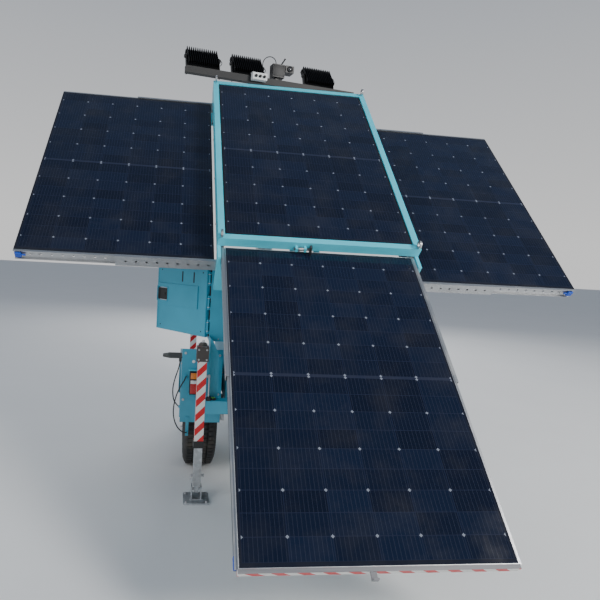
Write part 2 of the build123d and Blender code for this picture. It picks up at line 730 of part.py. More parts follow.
# ================================================================ array frame
bolt_radius = 8.0
bolt_out = 14.0           # bolt's middle in front of the front rail
bolt_w = rail_low + 22.0
bolt_guides = (-150.0, -98.0)
spine_x = 80.0
spine_wide = 40.0
spine_high = 20.0
with BuildPart(slope) as array_frame:
    for side in sides.values():
        block(side * frame_inner, side * frame_outer, rail_front, top_rear + rail_gap + frame_tube,
              frame_low, frame_top)
        block(side * (frame_outer - side_plate), side * frame_outer, rail_front,
              top_rear + rail_gap + frame_tube, plate_low, frame_low)
        block(side * (frame_outer - side_plate), side * frame_outer, beam_front_out, rail_front,
              plate_low - 12, rail_low)
    block(-frame_outer, frame_outer, rail_front, rail_rear, rail_low, frame_top)
    block(-frame_outer, frame_outer, top_rear + rail_gap, top_rear + rail_gap + frame_tube,
          frame_low, frame_top)
    block(-frame_outer, frame_outer, beam_front_out, beam_front_in, 0, plate_low)
    block(-frame_outer, frame_outer, beam_rear_in, beam_rear_out, 0, plate_low)
    for side in sides.values():
        block(side * (frame_inner + sheet), side * (frame_outer - sheet), rail_front + sheet,
              top_rear + rail_gap + frame_tube - sheet, plate_low - 1, frame_top - sheet,
              Mode.SUBTRACT)
        block(side * (frame_outer - side_plate), side * (frame_outer - side_plate + sheet),
              rail_front, top_rear + rail_gap + frame_tube, plate_low, frame_low + 10)
    block(-frame_inner, frame_inner, rail_front + sheet, rail_rear - sheet, rail_low - 1,
          frame_top - sheet, Mode.SUBTRACT)
    for v0, v1 in ((beam_front_out, beam_front_in), (beam_rear_in, beam_rear_out)):
        block(-frame_outer + sheet, frame_outer - sheet, v0 + sheet, v1 - sheet, -1,
              plate_low - sheet, Mode.SUBTRACT)
    for side in sides.values():
        for v in (top_front + 150, (top_front + top_rear) / 2, top_rear - 150):
            block(side * (module_wide / 2 - 22), side * (frame_outer - side_plate + 1), v - 30, v + 30,
                  frame_low - 6, frame_low)
        block(side * (spine_x - spine_wide / 2), side * (spine_x + spine_wide / 2), beam_front_in - sheet,
              beam_rear_in + sheet, 0, spine_high)
        block(side * (lug_x - 6), side * (lug_x + 6), beam_front_out, 0, -32, 0)
        rod("x", (side * lug_x, 0, 0), 32, lug_thick)
        rod("x", (side * lug_x, 0, 0), pivot_radius + running_gap, lug_thick + 2, Mode.SUBTRACT)
    for v in (act_out - 60, act_out + 60, (act_out + top_rear) / 2):
        block(-spine_x, spine_x, v - 12, v + 12, 0, spine_high)
    rod("x", (0, act_out, act_w), act_pin, 2 * (spine_x - spine_wide / 2) + 4)
    for x in bolt_guides:
        block(x - 7, x + 7, rail_front - bolt_out - 13, rail_front + 1, bolt_w - 13, bolt_w + 13)
        rod("x", (x, rail_front - bolt_out, bolt_w), bolt_radius + running_gap, 16, Mode.SUBTRACT)
save(array_frame, "array_frame")

with BuildPart(slope) as top_module_frame:
    module_rim(0, top_front, stack_glass)
save(top_module_frame, "top_module_frame")

with BuildPart(slope) as top_module_glass:
    module_laminate(0, top_front, stack_glass)
save(top_module_glass, "top_module_glass")

with BuildPart(slope) as slide_outers:
    for mid in (left_slide_mid, right_slide_mid):
        wing_pair("outer", -wing_slide_long / 2, wing_slide_long / 2, mid)
    lower_pair("outer", rail_front + 4, rail_front + 4 + lower_slide_long)
save(slide_outers, "slide_outers")

eye_outer = 24.0
eye_inner = 13.0
eye_ends = ((frame_outer - 20, rail_front + 14), (frame_outer - 20, top_rear + rail_gap + 26))
with BuildPart(slope) as lifting_eyes:
    for side in sides.values():
        for x, v in eye_ends:
            rod("x", (side * x, v, frame_top + eye_outer + 2), eye_outer, 12)
            block(side * x - 6, side * x + 6, v - 8, v + 8, frame_top, frame_top + 12)
            rod("x", (side * x, v, frame_top + eye_outer + 2), eye_inner, 14, Mode.SUBTRACT)
save(lifting_eyes, "lifting_eyes")

with BuildPart(slope) as panel_latch:
    rod("x", (-115, rail_front - bolt_out, bolt_w), bolt_radius, 100)
    block(-72, -60, rail_front - 26, rail_front - 4, rail_low + 4, rail_low + 48)
save(panel_latch, "panel_latch")

# ================================================================ sliding panels
for name, side in sides.items():
    glass = left_glass if side < 0 else right_glass
    mid = left_slide_mid if side < 0 else right_slide_mid
    centre = side * wing_travel
    with BuildPart(slope) as wing_frame:
        module_rim(centre, wing_front, glass)
    save(wing_frame, f"{name}_module_frame")

    with BuildPart(slope) as wing_glass:
        module_laminate(centre, wing_front, glass)
    save(wing_glass, f"{name}_module_glass")

    with BuildPart(slope) as wing_inners:
        wing_pair("inner", centre - module_wide / 2, centre + module_wide / 2, mid)
    save(wing_inners, f"{name}_slide_inners")

    with BuildPart(slope) as wing_middles:
        shift = centre / 2
        wing_pair("middle", shift - wing_slide_long / 2, shift + wing_slide_long / 2, mid)
    save(wing_middles, f"{name}_slide_middles")

with BuildPart(slope) as lower_module_frame:
    module_rim(0, lower_front, lower_glass)
save(lower_module_frame, "lower_module_frame")

with BuildPart(slope) as lower_module_glass:
    module_laminate(0, lower_front, lower_glass)
save(lower_module_glass, "lower_module_glass")

with BuildPart(slope) as lower_slide_inners:
    lower_pair("inner", lower_front, lower_rear)
save(lower_slide_inners, "lower_slide_inners")

with BuildPart(slope) as lower_slide_middles:
    middle_start = rail_front + 4 - lower_travel / 2
    lower_pair("middle", middle_start, middle_start + lower_slide_long)
save(lower_slide_middles, "lower_slide_middles")

bar_low = lower_glass - bar_thick
with BuildPart(slope) as warning_bar:
    half = module_wide / 2 + bar_over
    block(-half, half, bar_front, lower_front, bar_low, lower_glass)
    block(-half + sheet, half - sheet, bar_front + sheet, lower_front - sheet, bar_low - 1,
          lower_glass - sheet, Mode.SUBTRACT)
    block(hook_x - hook_wide / 2, hook_x + hook_wide / 2, hook_front, bar_front,
          lower_glass + 2 - hook_thick, lower_glass + 2)
    block(hook_x - hook_wide / 2, hook_x + hook_wide / 2, hook_front, hook_front + hook_thick,
          lower_glass + 2, lower_glass + 2 + hook_rise)
save(warning_bar, "warning_bar")

# ================================================================ mast
with BuildPart() as mast_base:
    half = mast_size / 2
    block(-half, half, mast_mid - half, mast_mid + half, rail_top, mast_top)
    block(-half - 60, half + 60, mast_mid - half - 20, mast_mid + half + 20, rail_top, rail_top + 12)
    block(-half + mast_wall, half - mast_wall, mast_mid - half + mast_wall, mast_mid + half - mast_wall,
          rail_top + 20, mast_top + 1, Mode.SUBTRACT)
save(mast_base, "mast_base")

top = mast_top
foot = rail_top + mast_lift
for number in (1, 2, 3):
    half = mast_size / 2 - number * mast_step / 2
    top = top + section_rise
    with BuildPart() as section:
        block(-half, half, mast_mid - half, mast_mid + half, foot, top)
        block(-half + mast_wall, half - mast_wall, mast_mid - half + mast_wall,
              mast_mid + half - mast_wall, foot - 1, top - 10 if number == 3 else top + 1,
              Mode.SUBTRACT)
        if number == 3:
            rod("z", (0, mast_mid, top - 5), 20 + running_gap, 12, Mode.SUBTRACT)
    save(section, f"mast_section_{number}")
    foot = foot + mast_lift
section_top = top

with BuildPart(head) as lamp_bar:
    block(-bar_half, bar_half, -bar_size / 2, bar_size / 2, -bar_size, 0)
    block(-bar_half - 1, bar_half + 1, -bar_size / 2 + 4, bar_size / 2 - 4, -bar_size + 4, -4,
          Mode.SUBTRACT)
    boss_high = bar_top - bar_size - section_top
    rod("z", (0, 0, -bar_size - boss_high / 2 + 0.25), 42, boss_high - 0.5)
    rod("z", (0, 0, -bar_size - boss_high / 2 - 10), 20, boss_high + 20)
    for place in lamp_places:
        for end in (-1, 1):
            x = place + end * (lamp_wide / 2 + 6)
            slab(Plane(origin=head.from_local_coords((x - 3, 0, 0)), x_dir=head.y_dir,
                       z_dir=head.x_dir),
                 [(bar_size / 2, -bar_size), (bar_size / 2, -4), (lamp_out - 22, lamp_up - 5),
                  (lamp_out - 12, lamp_up + 20), (lamp_out + 12, lamp_up + 20),
                  (lamp_out + 22, lamp_up - 5), (bar_size / 2 + 22, -bar_size)], 6)
            rod("x", (x, lamp_out, lamp_up), pin_radius + running_gap, 8, Mode.SUBTRACT)
save(lamp_bar, "lamp_bar")

with BuildPart(head) as head_boxes:
    block(*junction_x, -bar_size / 2 - junction_deep, -bar_size / 2, *junction_z)
    block(15, 55, -20, 20, 0, 30)
    block(-25, 95, -45, 45, 20, 140)
    block(105, 190, -40, 60, 78, 142)
    block(94, 106, -15, 15, 90, 130)
    with Locations((62, 0, 135)):
        Cylinder(7, 90, rotation=(0, 32, 0), align=(Align.CENTER, Align.CENTER, Align.MIN))
save(head_boxes, "head_boxes")

for number, place in enumerate(lamp_places, start=1):
    pivot = head.from_local_coords((place, lamp_out, lamp_up))
    pitch = math.radians(lamp_pitch)
    lamp_axis = head.z_dir * math.cos(pitch) + head.y_dir * math.sin(pitch)
    tipped = Plane(origin=pivot, x_dir=head.x_dir, z_dir=lamp_axis)
    with BuildPart(tipped) as lamp:
        half = lamp_wide / 2
        block(-half, half, 0, lamp_deep / 2, -lamp_high / 2, lamp_high / 2)
        block(-half + 14, half - 14, lamp_deep / 2 - 4, lamp_deep / 2 + 1, -lamp_high / 2 + 14,
              lamp_high / 2 - 14, Mode.SUBTRACT)
        fins = int((lamp_wide - fin_thick) // fin_pitch)
        for i in range(fins + 1):
            x = (i - fins / 2) * fin_pitch
            block(x - fin_thick / 2, x + fin_thick / 2, -lamp_deep / 2, 0, -lamp_high / 2, lamp_high / 2)
        for end in (-1, 1):
            block(end * (half - 2), end * (half + 1.5), -20, 20, -20, 20)
            rod("x", (end * (half + 6), 0, 0), pin_radius, 12)
    save(lamp, f"lamp_{number}")

# ================================================================ cords
upper_route = [(side_x, tag_y + 70, step_low - 28), (side_x - 6, tag_y + 68, step_low - 70),
               (-814, tag_y + 62, 700), (-829, tag_y + 54, 634), (-828, tag_y + 46, 574),
               (-814, tag_y + 38, 528), (side_x + 3, tag_y + 31, 504)]
with BuildPart() as cable_upper:
    cord(upper_route, "cable_upper")
save(cable_upper, "cable_upper")

lower_route = [(-746, tag_y - 12, 719), (-750, tag_y - 42, 712), (-768, tag_y - 62, 686),
               (-792, tag_y - 66, 642), (-811, tag_y - 60, 584), (-821, tag_y - 55, 520),
               (-818, tag_y - 52, 458), (-799, tag_y - 50, 402), (-770, tag_y - 47, 366),
               (-741, tag_y - 38, 348), (-727, tag_y - 15, 345)]
with BuildPart() as cable_lower:
    cord(lower_route, "cable_lower")
save(cable_lower, "cable_lower")

lamp_route = [tuple(head.from_local_coords(p)) for p in
              ((-84, lamp_out, lamp_up + 20), (-85, lamp_out - 1, lamp_up + 54),
               (-72, lamp_out - 8, lamp_up + 92), (-42, lamp_out - 22, lamp_up + 114),
               (-6, lamp_out - 40, lamp_up + 113), (22, lamp_out - 54, lamp_up + 88),
               (32, lamp_out - 60, lamp_up + 54), (32, lamp_out - 61, 140))]
with BuildPart() as lamp_cable:
    cord(lamp_route, "lamp_cable")
save(lamp_cable, "lamp_cable")
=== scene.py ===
import json
import math
import bmesh
import bpy
from mathutils import Matrix, Vector


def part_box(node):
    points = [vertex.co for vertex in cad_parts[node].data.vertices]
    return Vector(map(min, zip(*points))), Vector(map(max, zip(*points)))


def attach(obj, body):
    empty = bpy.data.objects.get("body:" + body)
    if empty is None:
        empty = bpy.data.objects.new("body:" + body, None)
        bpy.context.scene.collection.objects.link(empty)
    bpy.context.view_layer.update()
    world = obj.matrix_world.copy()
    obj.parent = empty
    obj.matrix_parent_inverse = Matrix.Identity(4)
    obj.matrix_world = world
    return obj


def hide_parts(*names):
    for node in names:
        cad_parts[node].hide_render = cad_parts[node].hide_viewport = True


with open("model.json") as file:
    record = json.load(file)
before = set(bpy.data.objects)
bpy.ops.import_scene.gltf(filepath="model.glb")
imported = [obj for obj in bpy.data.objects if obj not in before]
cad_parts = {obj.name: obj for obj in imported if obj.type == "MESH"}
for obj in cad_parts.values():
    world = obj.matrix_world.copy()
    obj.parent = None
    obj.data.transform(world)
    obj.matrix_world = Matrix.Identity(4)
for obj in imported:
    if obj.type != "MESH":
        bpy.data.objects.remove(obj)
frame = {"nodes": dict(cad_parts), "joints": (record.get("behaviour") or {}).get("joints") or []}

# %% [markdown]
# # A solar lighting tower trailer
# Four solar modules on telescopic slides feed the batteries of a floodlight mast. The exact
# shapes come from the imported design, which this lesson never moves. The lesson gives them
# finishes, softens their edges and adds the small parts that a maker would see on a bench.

scene = bpy.context.scene
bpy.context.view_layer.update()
joints = {joint["name"]: joint for joint in frame["joints"]}
SIDES = {"left": -1, "right": 1}

# %% [markdown]
# ## Local frames
# The array leans at 45 degrees, the lamp bar is turned a little and the left door stands ajar.
# Measuring each part in its own straight frame keeps every number simple, so these matrices
# carry such a frame into the trailer's. They start from the joints, and follow them if they move.

# %% Local frames
TILT, HEAD_YAW, LAMP_PITCH, DOOR_AJAR = (math.radians(a) for a in (45, 11, 38, 39))


def joint_place(name):
    return Vector(joints[name]["pos_m"])


pivot = joint_place("array_tilt")
slope = Matrix.Translation(pivot) @ Matrix.Rotation(TILT, 4, "X")
bar_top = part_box("mast_section_3")[1].z + 0.112
head_foot = joint_place("head_turn")
head = Matrix.Translation((head_foot.x, head_foot.y, bar_top)) @ Matrix.Rotation(HEAD_YAW, 4, "Z")
lamps = {f"lamp_{i}": Matrix.Translation(joint_place(f"lamp_{i}_tilt"))
         @ Matrix.Rotation(HEAD_YAW, 4, "Z") @ Matrix.Rotation(-LAMP_PITCH, 4, "X") for i in (1, 2, 3)}
hinge = joint_place("left_door_hinge")
doors = {"left": Matrix.Translation(hinge) @ Matrix.Rotation(DOOR_AJAR, 4, "Z")
         @ Matrix.Translation(-hinge), "right": Matrix.Identity(4)}
print("tilt pivot", tuple(round(c, 3) for c in pivot), "bar top", round(bar_top, 3))

# %% [markdown]
# ## Camera
# The viewer stands low behind the trailer's tail, a little to its left, and looks slightly up.
# A small sideways lens shift keeps the uprights upright, as an architect's camera does.

# %% Camera
EYE = Vector((-0.852, -3.9581, 1.500))
right = Vector((0.9914, -0.1193, 0.0531)).normalized()
back = Vector((-0.1231, -0.9895, 0.0754))
back = (back - right * back.dot(right)).normalized()
camera_data = bpy.data.cameras.new("viewer")
camera_data.lens = 32.28
camera_data.sensor_width = 36
camera_data.shift_x = 0.10
camera = bpy.data.objects.new("viewer", camera_data)
camera.matrix_world = Matrix.Translation(EYE) @ Matrix((right, back.cross(right), back)).transposed().to_4x4()
scene.collection.objects.link(camera)
scene.camera = camera
print("camera at", tuple(EYE))

# %% [markdown]
# ## Cords
# Three short cables hang free on the real trailer: one drops from the step's gland to the
# fender's side, one runs from the fender's upper gland round to the lower one, and one arches
# from the middle lamp to the head's black box. A smooth curve through a few given points
# bends like cable, where a chain of straight runs would look like wire.

# %% Cords
CORD_RADIUS = 0.004


def cord(name, points, body, node):
    """A cable on one smooth curve, which stands for its plain tube in the design."""
    data = bpy.data.curves.new(name, "CURVE")
    data.dimensions = "3D"
    line = data.splines.new("NURBS")
    line.points.add(len(points) - 1)
    for spot, point in zip(line.points, points):
        spot.co = (*point, 1)
        spot.radius = CORD_RADIUS
    line.order_u = 3
    line.use_endpoint_u = True
    line.resolution_u = 10
    data.bevel_depth = 1.0      # times each point's radius
    data.bevel_resolution = 5
    piece = bpy.data.objects.new(name, data)
    scene.collection.objects.link(piece)
    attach(piece, body)
    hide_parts(node)
    return piece


plate_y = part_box("tail_lamps")[1].y
step_cable = cord("step_cable", [
    (-0.788, plate_y + 0.070, 0.800), (-0.794, plate_y + 0.068, 0.758),
    (-0.814, plate_y + 0.062, 0.700), (-0.829, plate_y + 0.054, 0.634),
    (-0.828, plate_y + 0.046, 0.574), (-0.814, plate_y + 0.038, 0.528),
    (-0.785, plate_y + 0.031, 0.504)], "root", "cable_upper")
fender_cable = cord("fender_cable", [
    (-0.746, plate_y - 0.012, 0.719), (-0.750, plate_y - 0.042, 0.712),
    (-0.768, plate_y - 0.062, 0.686), (-0.792, plate_y - 0.066, 0.642),
    (-0.811, plate_y - 0.060, 0.584), (-0.821, plate_y - 0.055, 0.520),
    (-0.818, plate_y - 0.052, 0.458), (-0.799, plate_y - 0.050, 0.402),
    (-0.770, plate_y - 0.047, 0.366), (-0.741, plate_y - 0.038, 0.348),
    (-0.727, plate_y - 0.015, 0.345)], "root", "cable_lower")
lamp_route = [(-0.084, 0.090, 0.138), (-0.085, 0.089, 0.172), (-0.072, 0.082, 0.210),
              (-0.042, 0.068, 0.232), (-0.006, 0.050, 0.231), (0.022, 0.036, 0.206),
              (0.032, 0.030, 0.172), (0.032, 0.029, 0.140)]
lamp_cord = cord("lamp_cord", [tuple(head @ Vector(p)) for p in lamp_route],
                 "lamp_head", "lamp_cable")
print("cords", [piece.name for piece in (step_cable, fender_cable, lamp_cord)])

# %% [markdown]
# ## Maths on sockets
# Node trees are easier to read as sums. This class holds one output of a tree, and each
# operator adds the Math node that does that sum, also when the number comes first.

# %% Maths on sockets


def maths(operation, swapped=False):
    """A method that adds one Math node, with its two values swapped if asked."""
    def method(self, other=0.0):
        first, second = (other, self) if swapped else (self, other)
        return self.finish.node("ShaderNodeMath", {"operation": operation}, {0: first, 1: second})
    return method


class Value:
    """One output socket that takes part in sums."""

    def __init__(self, finish, socket):
        self.finish, self.socket = finish, socket

    __add__ = __radd__ = maths("ADD")
    __sub__, __rsub__ = maths("SUBTRACT"), maths("SUBTRACT", swapped=True)
    __mul__ = __rmul__ = maths("MULTIPLY")
    __truediv__ = maths("DIVIDE")
    __gt__, __lt__ = maths("GREATER_THAN"), maths("LESS_THAN")
    __abs__, fraction, whole = maths("ABSOLUTE"), maths("FRACT"), maths("FLOOR")


# %% [markdown]
# ## Finishes
# A finish is one material. It has one method for any node, and short names for the few
# patterns that come back everywhere: a place on the part, noise, a mix and a bump.

# %% Finishes


class Finish:
    """One material, with its nodes made by name."""

    def __init__(self, name, **fixed):
        self.material = bpy.data.materials.new(name)
        self.material.use_nodes = True
        self.tree = self.material.node_tree
        self.shader = self.tree.nodes["Principled BSDF"]
        for key, value in fixed.items():
            self.shader.inputs[key.replace("_", " ")].default_value = value

    def join(self, socket, value):
        if isinstance(value, Value):
            self.tree.links.new(value.socket, socket)
        elif socket.type == "RGBA":
            socket.default_value = (*value, 1)[:4]
        else:
            socket.default_value = value

    def node(self, kind, settings=None, sockets=None, out=0):
        made = self.tree.nodes.new(kind)
        for key, value in (settings or {}).items():
            if key == "stops":
                stops = made.color_ramp.elements
                stops[0].position, stops[-1].position = value[0][0], value[-1][0]
                for place, _ in value[1:-1]:
                    stops.new(place)
                for stop, (_, level) in zip(stops, value):
                    stop.color = (level, level, level, 1)
            else:
                setattr(made, key, value)
        for key, value in (sockets or {}).items():
            self.join(made.inputs[key], value)
        return Value(self, made.outputs[out])

    def place(self):
        return self.node("ShaderNodeTexCoord", out=3)

    def dot(self, vector, direction):
        return self.node("ShaderNodeVectorMath", {"operation": "DOT_PRODUCT"},
                         {0: vector, 1: direction}, out=1)

    def along(self, direction, start=0.0):
        """Distance along a direction, measured from start."""
        return self.dot(self.place(), direction) - start

    def facing(self, direction):
        """How far the part's own surface faces that way, from -1 to 1."""
        return self.dot(self.node("ShaderNodeTexCoord", out=1), direction)

    def noise(self, scale, detail=3.0, stretch=(1, 1, 1)):
        spread = self.node("ShaderNodeMapping", {}, {"Vector": self.place(), "Scale": stretch})
        return self.node("ShaderNodeTexNoise", {}, {"Vector": spread, "Scale": scale,
                                                    "Detail": detail, "Roughness": 0.6})

    def ramp(self, value, *stops):
        return self.node("ShaderNodeValToRGB", {"stops": stops}, {0: value})

    def mix(self, factor, first, second):
        return self.node("ShaderNodeMix", {"data_type": "RGBA", "clamp_factor": True},
                         {0: factor, 6: first, 7: second}, out=2)

    def bump(self, height, strength, distance=0.001):
        self.show(Normal=self.node("ShaderNodeBump", {}, {"Strength": strength,
                                                          "Distance": distance, "Height": height}))

    def show(self, **links):
        for key, value in links.items():
            self.join(self.shader.inputs[key.replace("_", " ")], value)
        return self


# %% [markdown]
# ## Powder coat
# The trailer's blue is a powder coat: even colour, a fine orange-peel skin, scuffs where hands
# and straps rub, and road dust that is thicker low down. Noise at three scales gives each.
# The body's coat and the array's coat are one paint. The body's copy is made darker as painted shade,
# and the array frame's copy is made brighter as painted sunlight.

# %% Powder coat
DUST = (0.20, 0.17, 0.13)


def coat(name, colour, dust=0.35, rough=0.38, metallic=0.0):
    finish = Finish(name, Metallic=metallic)
    patches = finish.noise(2.6, 5)
    scuffs = finish.ramp(finish.noise(34, 6, (1, 1, 3)), (0.62, 0), (0.74, 1))
    specks = finish.ramp(finish.noise(260, 2), (0.70, 0), (0.78, 1))
    low_down = finish.ramp(finish.along((0, 0, 1)) * 0.9, (0.1, 1), (0.95, 0.12))
    darker = tuple(c * 0.72 for c in colour)
    lighter = tuple(min(1, c * 1.3) for c in colour)
    shade = finish.mix(patches, darker, lighter)
    shade = finish.mix(scuffs * 0.22, shade, lighter)
    shade = finish.mix((patches * low_down + specks * 0.4) * dust, shade, DUST)
    finish.show(Base_Color=shade, Roughness=rough + patches * 0.16 + scuffs * 0.18)
    finish.bump(finish.noise(480, 2) + scuffs * 0.3, 0.12, 0.0006)
    return finish.material


# One cyan paint in two copies: the body's darker blue is painted shade, and the array frame's brighter cyan
# is painted sunlight.
SHADED_BLUE = (0.035, 0.320, 0.460)
body_paint = coat("shaded_blue_powder_coat", SHADED_BLUE)
frame_paint = coat("sunlit_array_powder_coat", (0.085, 0.560, 0.700), dust=0.22, rough=0.32)
black_coat = coat("black_powder_coat", (0.010, 0.010, 0.011), dust=0.06, rough=0.5)
grey_coat = coat("jack_head_coat", (0.085, 0.075, 0.070), dust=0.3, rough=0.5)
white_coat = coat("white_coat", (0.74, 0.75, 0.75), dust=0.2, rough=0.35)
wheel_coat = coat("wheel_silver", (0.50, 0.51, 0.52), dust=0.4, rough=0.3, metallic=0.55)
step_coat = coat("step_coat", (0.045, 0.050, 0.052), dust=0.5, rough=0.65)
print("powder coats", 7)

# %% [markdown]
# ## Bare and plated metal
# Hot-dip galvanising grows flat crystals a few millimetres wide, each of its own grey, which
# cell noise copies well. Slides and pins are rolled, so their grain runs in long thin lines.

# %% Bare and plated metal


def galvanise(name, light, dark, spangle=55):
    finish = Finish(name, Metallic=0.85)
    crystals = finish.node("ShaderNodeTexVoronoi", {}, {"Vector": finish.place(), "Scale": spangle}, out=1)
    grey = finish.node("ShaderNodeRGBToBW", {}, {0: crystals})
    stain = finish.ramp(finish.noise(6, 6), (0.48, 0), (0.72, 1))
    shade = finish.mix(grey, dark, light)
    shade = finish.mix(stain * 0.35, shade, DUST)
    finish.show(Base_Color=shade, Roughness=0.34 + grey * 0.16 + stain * 0.22)
    finish.bump(grey + finish.noise(190, 3) * 0.5, 0.10, 0.0005)
    return finish.material


def rolled(name, colour, stretch, rough=0.28, stained=0.2):
    finish = Finish(name, Metallic=0.9)
    lines = finish.noise(230, 4, stretch)
    stain = finish.ramp(finish.noise(9, 5), (0.5, 0), (0.75, 1))
    shade = finish.mix(lines, tuple(c * 0.78 for c in colour), colour)
    shade = finish.mix(stain * stained, shade, (0.16, 0.13, 0.10))
    finish.show(Base_Color=shade, Roughness=rough + lines * 0.14 + stain * 0.2)
    finish.bump(lines, 0.14, 0.0003)
    return finish.material


galvanised = galvanise("galvanised", (0.62, 0.64, 0.66), (0.40, 0.42, 0.44))
cross_zinc = rolled("slide_zinc", (0.56, 0.57, 0.58), (0.03, 1, 1))
steel = rolled("bright_steel", (0.55, 0.55, 0.56), (1, 1, 0.1))
dark_steel = rolled("dark_steel", (0.17, 0.17, 0.18), (1, 1, 0.1), 0.4)
silver_rim = rolled("clear_anodised", (0.74, 0.75, 0.76), (0.05, 0.4, 0.4), 0.26, 0.08)
black_rim = rolled("black_anodised", (0.040, 0.041, 0.046), (0.05, 0.4, 0.4), 0.34, 0.06)
lamp_black = rolled("lamp_casting", (0.016, 0.016, 0.018), (1, 1, 1), 0.5, 0.04)
print("metals", 7)

# %% [markdown]
# ## Solar cells
# Each module has 6 columns of 18 half cells with a wider gap at mid-length. The finish measures
# across and up the module, cuts both into cells, and takes each mark from the place within a
# cell: fine silver busbars, grey seams, and bright diamonds where the corners of whole cells
# are clipped. Every cell gets a slightly different blue, and the back stays a plain sheet.

# %% Solar cells
CELL_ACROSS, CELL_UP, MIDDLE_GAP = 0.1840, 0.0926, 0.014
UP = (0, math.cos(TILT), math.sin(TILT))
OUT = (0, -math.sin(TILT), math.cos(TILT))


def cells(name, node):
    low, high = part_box(node)
    mid_x = (low.x + high.x) / 2
    middle = Vector((mid_x, (low.y + high.y) / 2, (low.z + high.z) / 2)).dot(Vector(UP))
    finish = Finish(name, Coat_Roughness=0.04, Coat_IOR=1.4, Specular_IOR_Level=0.2)
    across = finish.along((1, 0, 0), mid_x) / CELL_ACROSS + 3
    height = finish.along(UP, middle)
    upper = height > 0
    up = (height - (upper - 0.5) * MIDDLE_GAP) / CELL_UP
    half = up.fraction()
    pair = (up * 0.5).fraction()
    column = across.fraction()
    from_seam = 0.5 - abs(column - 0.5)
    seam = (from_seam < 0.009) + ((0.5 - abs(half - 0.5)) < 0.017)
    middle_seam = abs(height) < MIDDLE_GAP * 0.55
    corner = (from_seam * 2 + (0.5 - abs(pair - 0.5)) * 2) < 0.085
    busbar = abs((column * 10).fraction() - 0.5) < 0.035
    finger = abs((half * 34).fraction() - 0.5) < 0.10
    inside = (abs(across - 3) < 3.0) * (abs(height) < 0.8405)
    tag = finish.node("ShaderNodeCombineXYZ", {}, {0: across.whole(), 1: up.whole(), 2: 0.0})
    odd = finish.node("ShaderNodeTexWhiteNoise", {}, {"Vector": tag})
    shade = finish.mix(odd, (0.0025, 0.0050, 0.016), (0.0045, 0.0095, 0.028))
    shade = finish.mix(finger * 0.10, shade, (0.05, 0.06, 0.10))
    shade = finish.mix(busbar * 0.14, shade, (0.18, 0.20, 0.26))
    shade = finish.mix(seam * 0.7, shade, (0.016, 0.021, 0.045))
    shade = finish.mix(middle_seam * 0.8, shade, (0.022, 0.027, 0.052))
    shade = finish.mix(corner * 0.7, shade, (0.30, 0.33, 0.40))
    shade = finish.mix(1 - inside, shade, (0.010, 0.012, 0.022))
    film = finish.ramp(finish.noise(5, 6), (0.45, 0), (0.8, 1))
    shade = finish.mix(film * 0.06, shade, DUST)
    backward = finish.facing(OUT) < 0
    back_sheet = finish.mix(finish.noise(60, 3), (0.58, 0.58, 0.57), (0.66, 0.66, 0.65))
    finish.show(Base_Color=finish.mix(backward, shade, back_sheet),
                Roughness=0.10 + film * 0.18 + backward * 0.4, Coat_Weight=0.35 - backward * 0.35)
    finish.bump(odd * 0.3 + finish.noise(150, 2) * 0.1, 0.02, 0.0002)
    return finish.material


MODULES = ("top", "left", "right", "lower")
cell_finish = {name: cells(f"{name}_cells", f"{name}_module_glass") for name in MODULES}
print("cell finishes", len(cell_finish))

# %% [markdown]
# ## Striped steel, rubber, plastic and lenses
# Tape stripes are a repeating count along a slanted direction. Rubber and moulded plastic are
# nearly one colour, so their grain and dust make them read as real.

# %% Striped steel, rubber, plastic and lenses
RED, WHITE, BLACK = (0.60, 0.008, 0.012), (0.74, 0.73, 0.70), (0.014, 0.014, 0.015)


def stripes(name, lean, pitch, bands=(), plain=(), bare=()):
    """Red and white tape. bands are (low z, high z, colour), plain is (along, limit, colour)
    and bare is (facing, colour)."""
    finish = Finish(name)
    mark = (finish.along(lean) / pitch).fraction() > 0.5
    worn = finish.ramp(finish.noise(70, 6), (0.63, 0), (0.72, 1))
    shade = finish.mix(mark, WHITE, RED)
    shade = finish.mix(worn * 0.5, shade, DUST)
    z = finish.along((0, 0, 1))
    for low, high, colour in bands:
        shade = finish.mix((z > low) * (z < high), shade, colour)
    for direction, limit, colour in plain:
        shade = finish.mix(finish.along(direction) < limit, shade, colour)
    for direction, colour in bare:
        shade = finish.mix(finish.facing(direction) > 0.7, shade, colour)
    finish.show(Base_Color=shade, Roughness=0.34 + worn * 0.3 + finish.noise(12) * 0.15)
    finish.bump(finish.noise(340, 2) + mark * 0.2, 0.10, 0.0005)
    return finish.material


def moulded(name, colour, rough=0.5, grain=520, dust=0.15, **fixed):
    finish = Finish(name, **fixed)
    patches = finish.noise(7, 5)
    shade = finish.mix(patches * 0.6, colour, tuple(c * 0.7 + 0.004 for c in colour))
    shade = finish.mix(finish.ramp(patches, (0.5, 0), (0.8, 1)) * dust, shade, DUST)
    finish.show(Base_Color=shade, Roughness=rough + patches * 0.15)
    finish.bump(finish.noise(grain, 3), 0.18, 0.0004)
    return finish.material


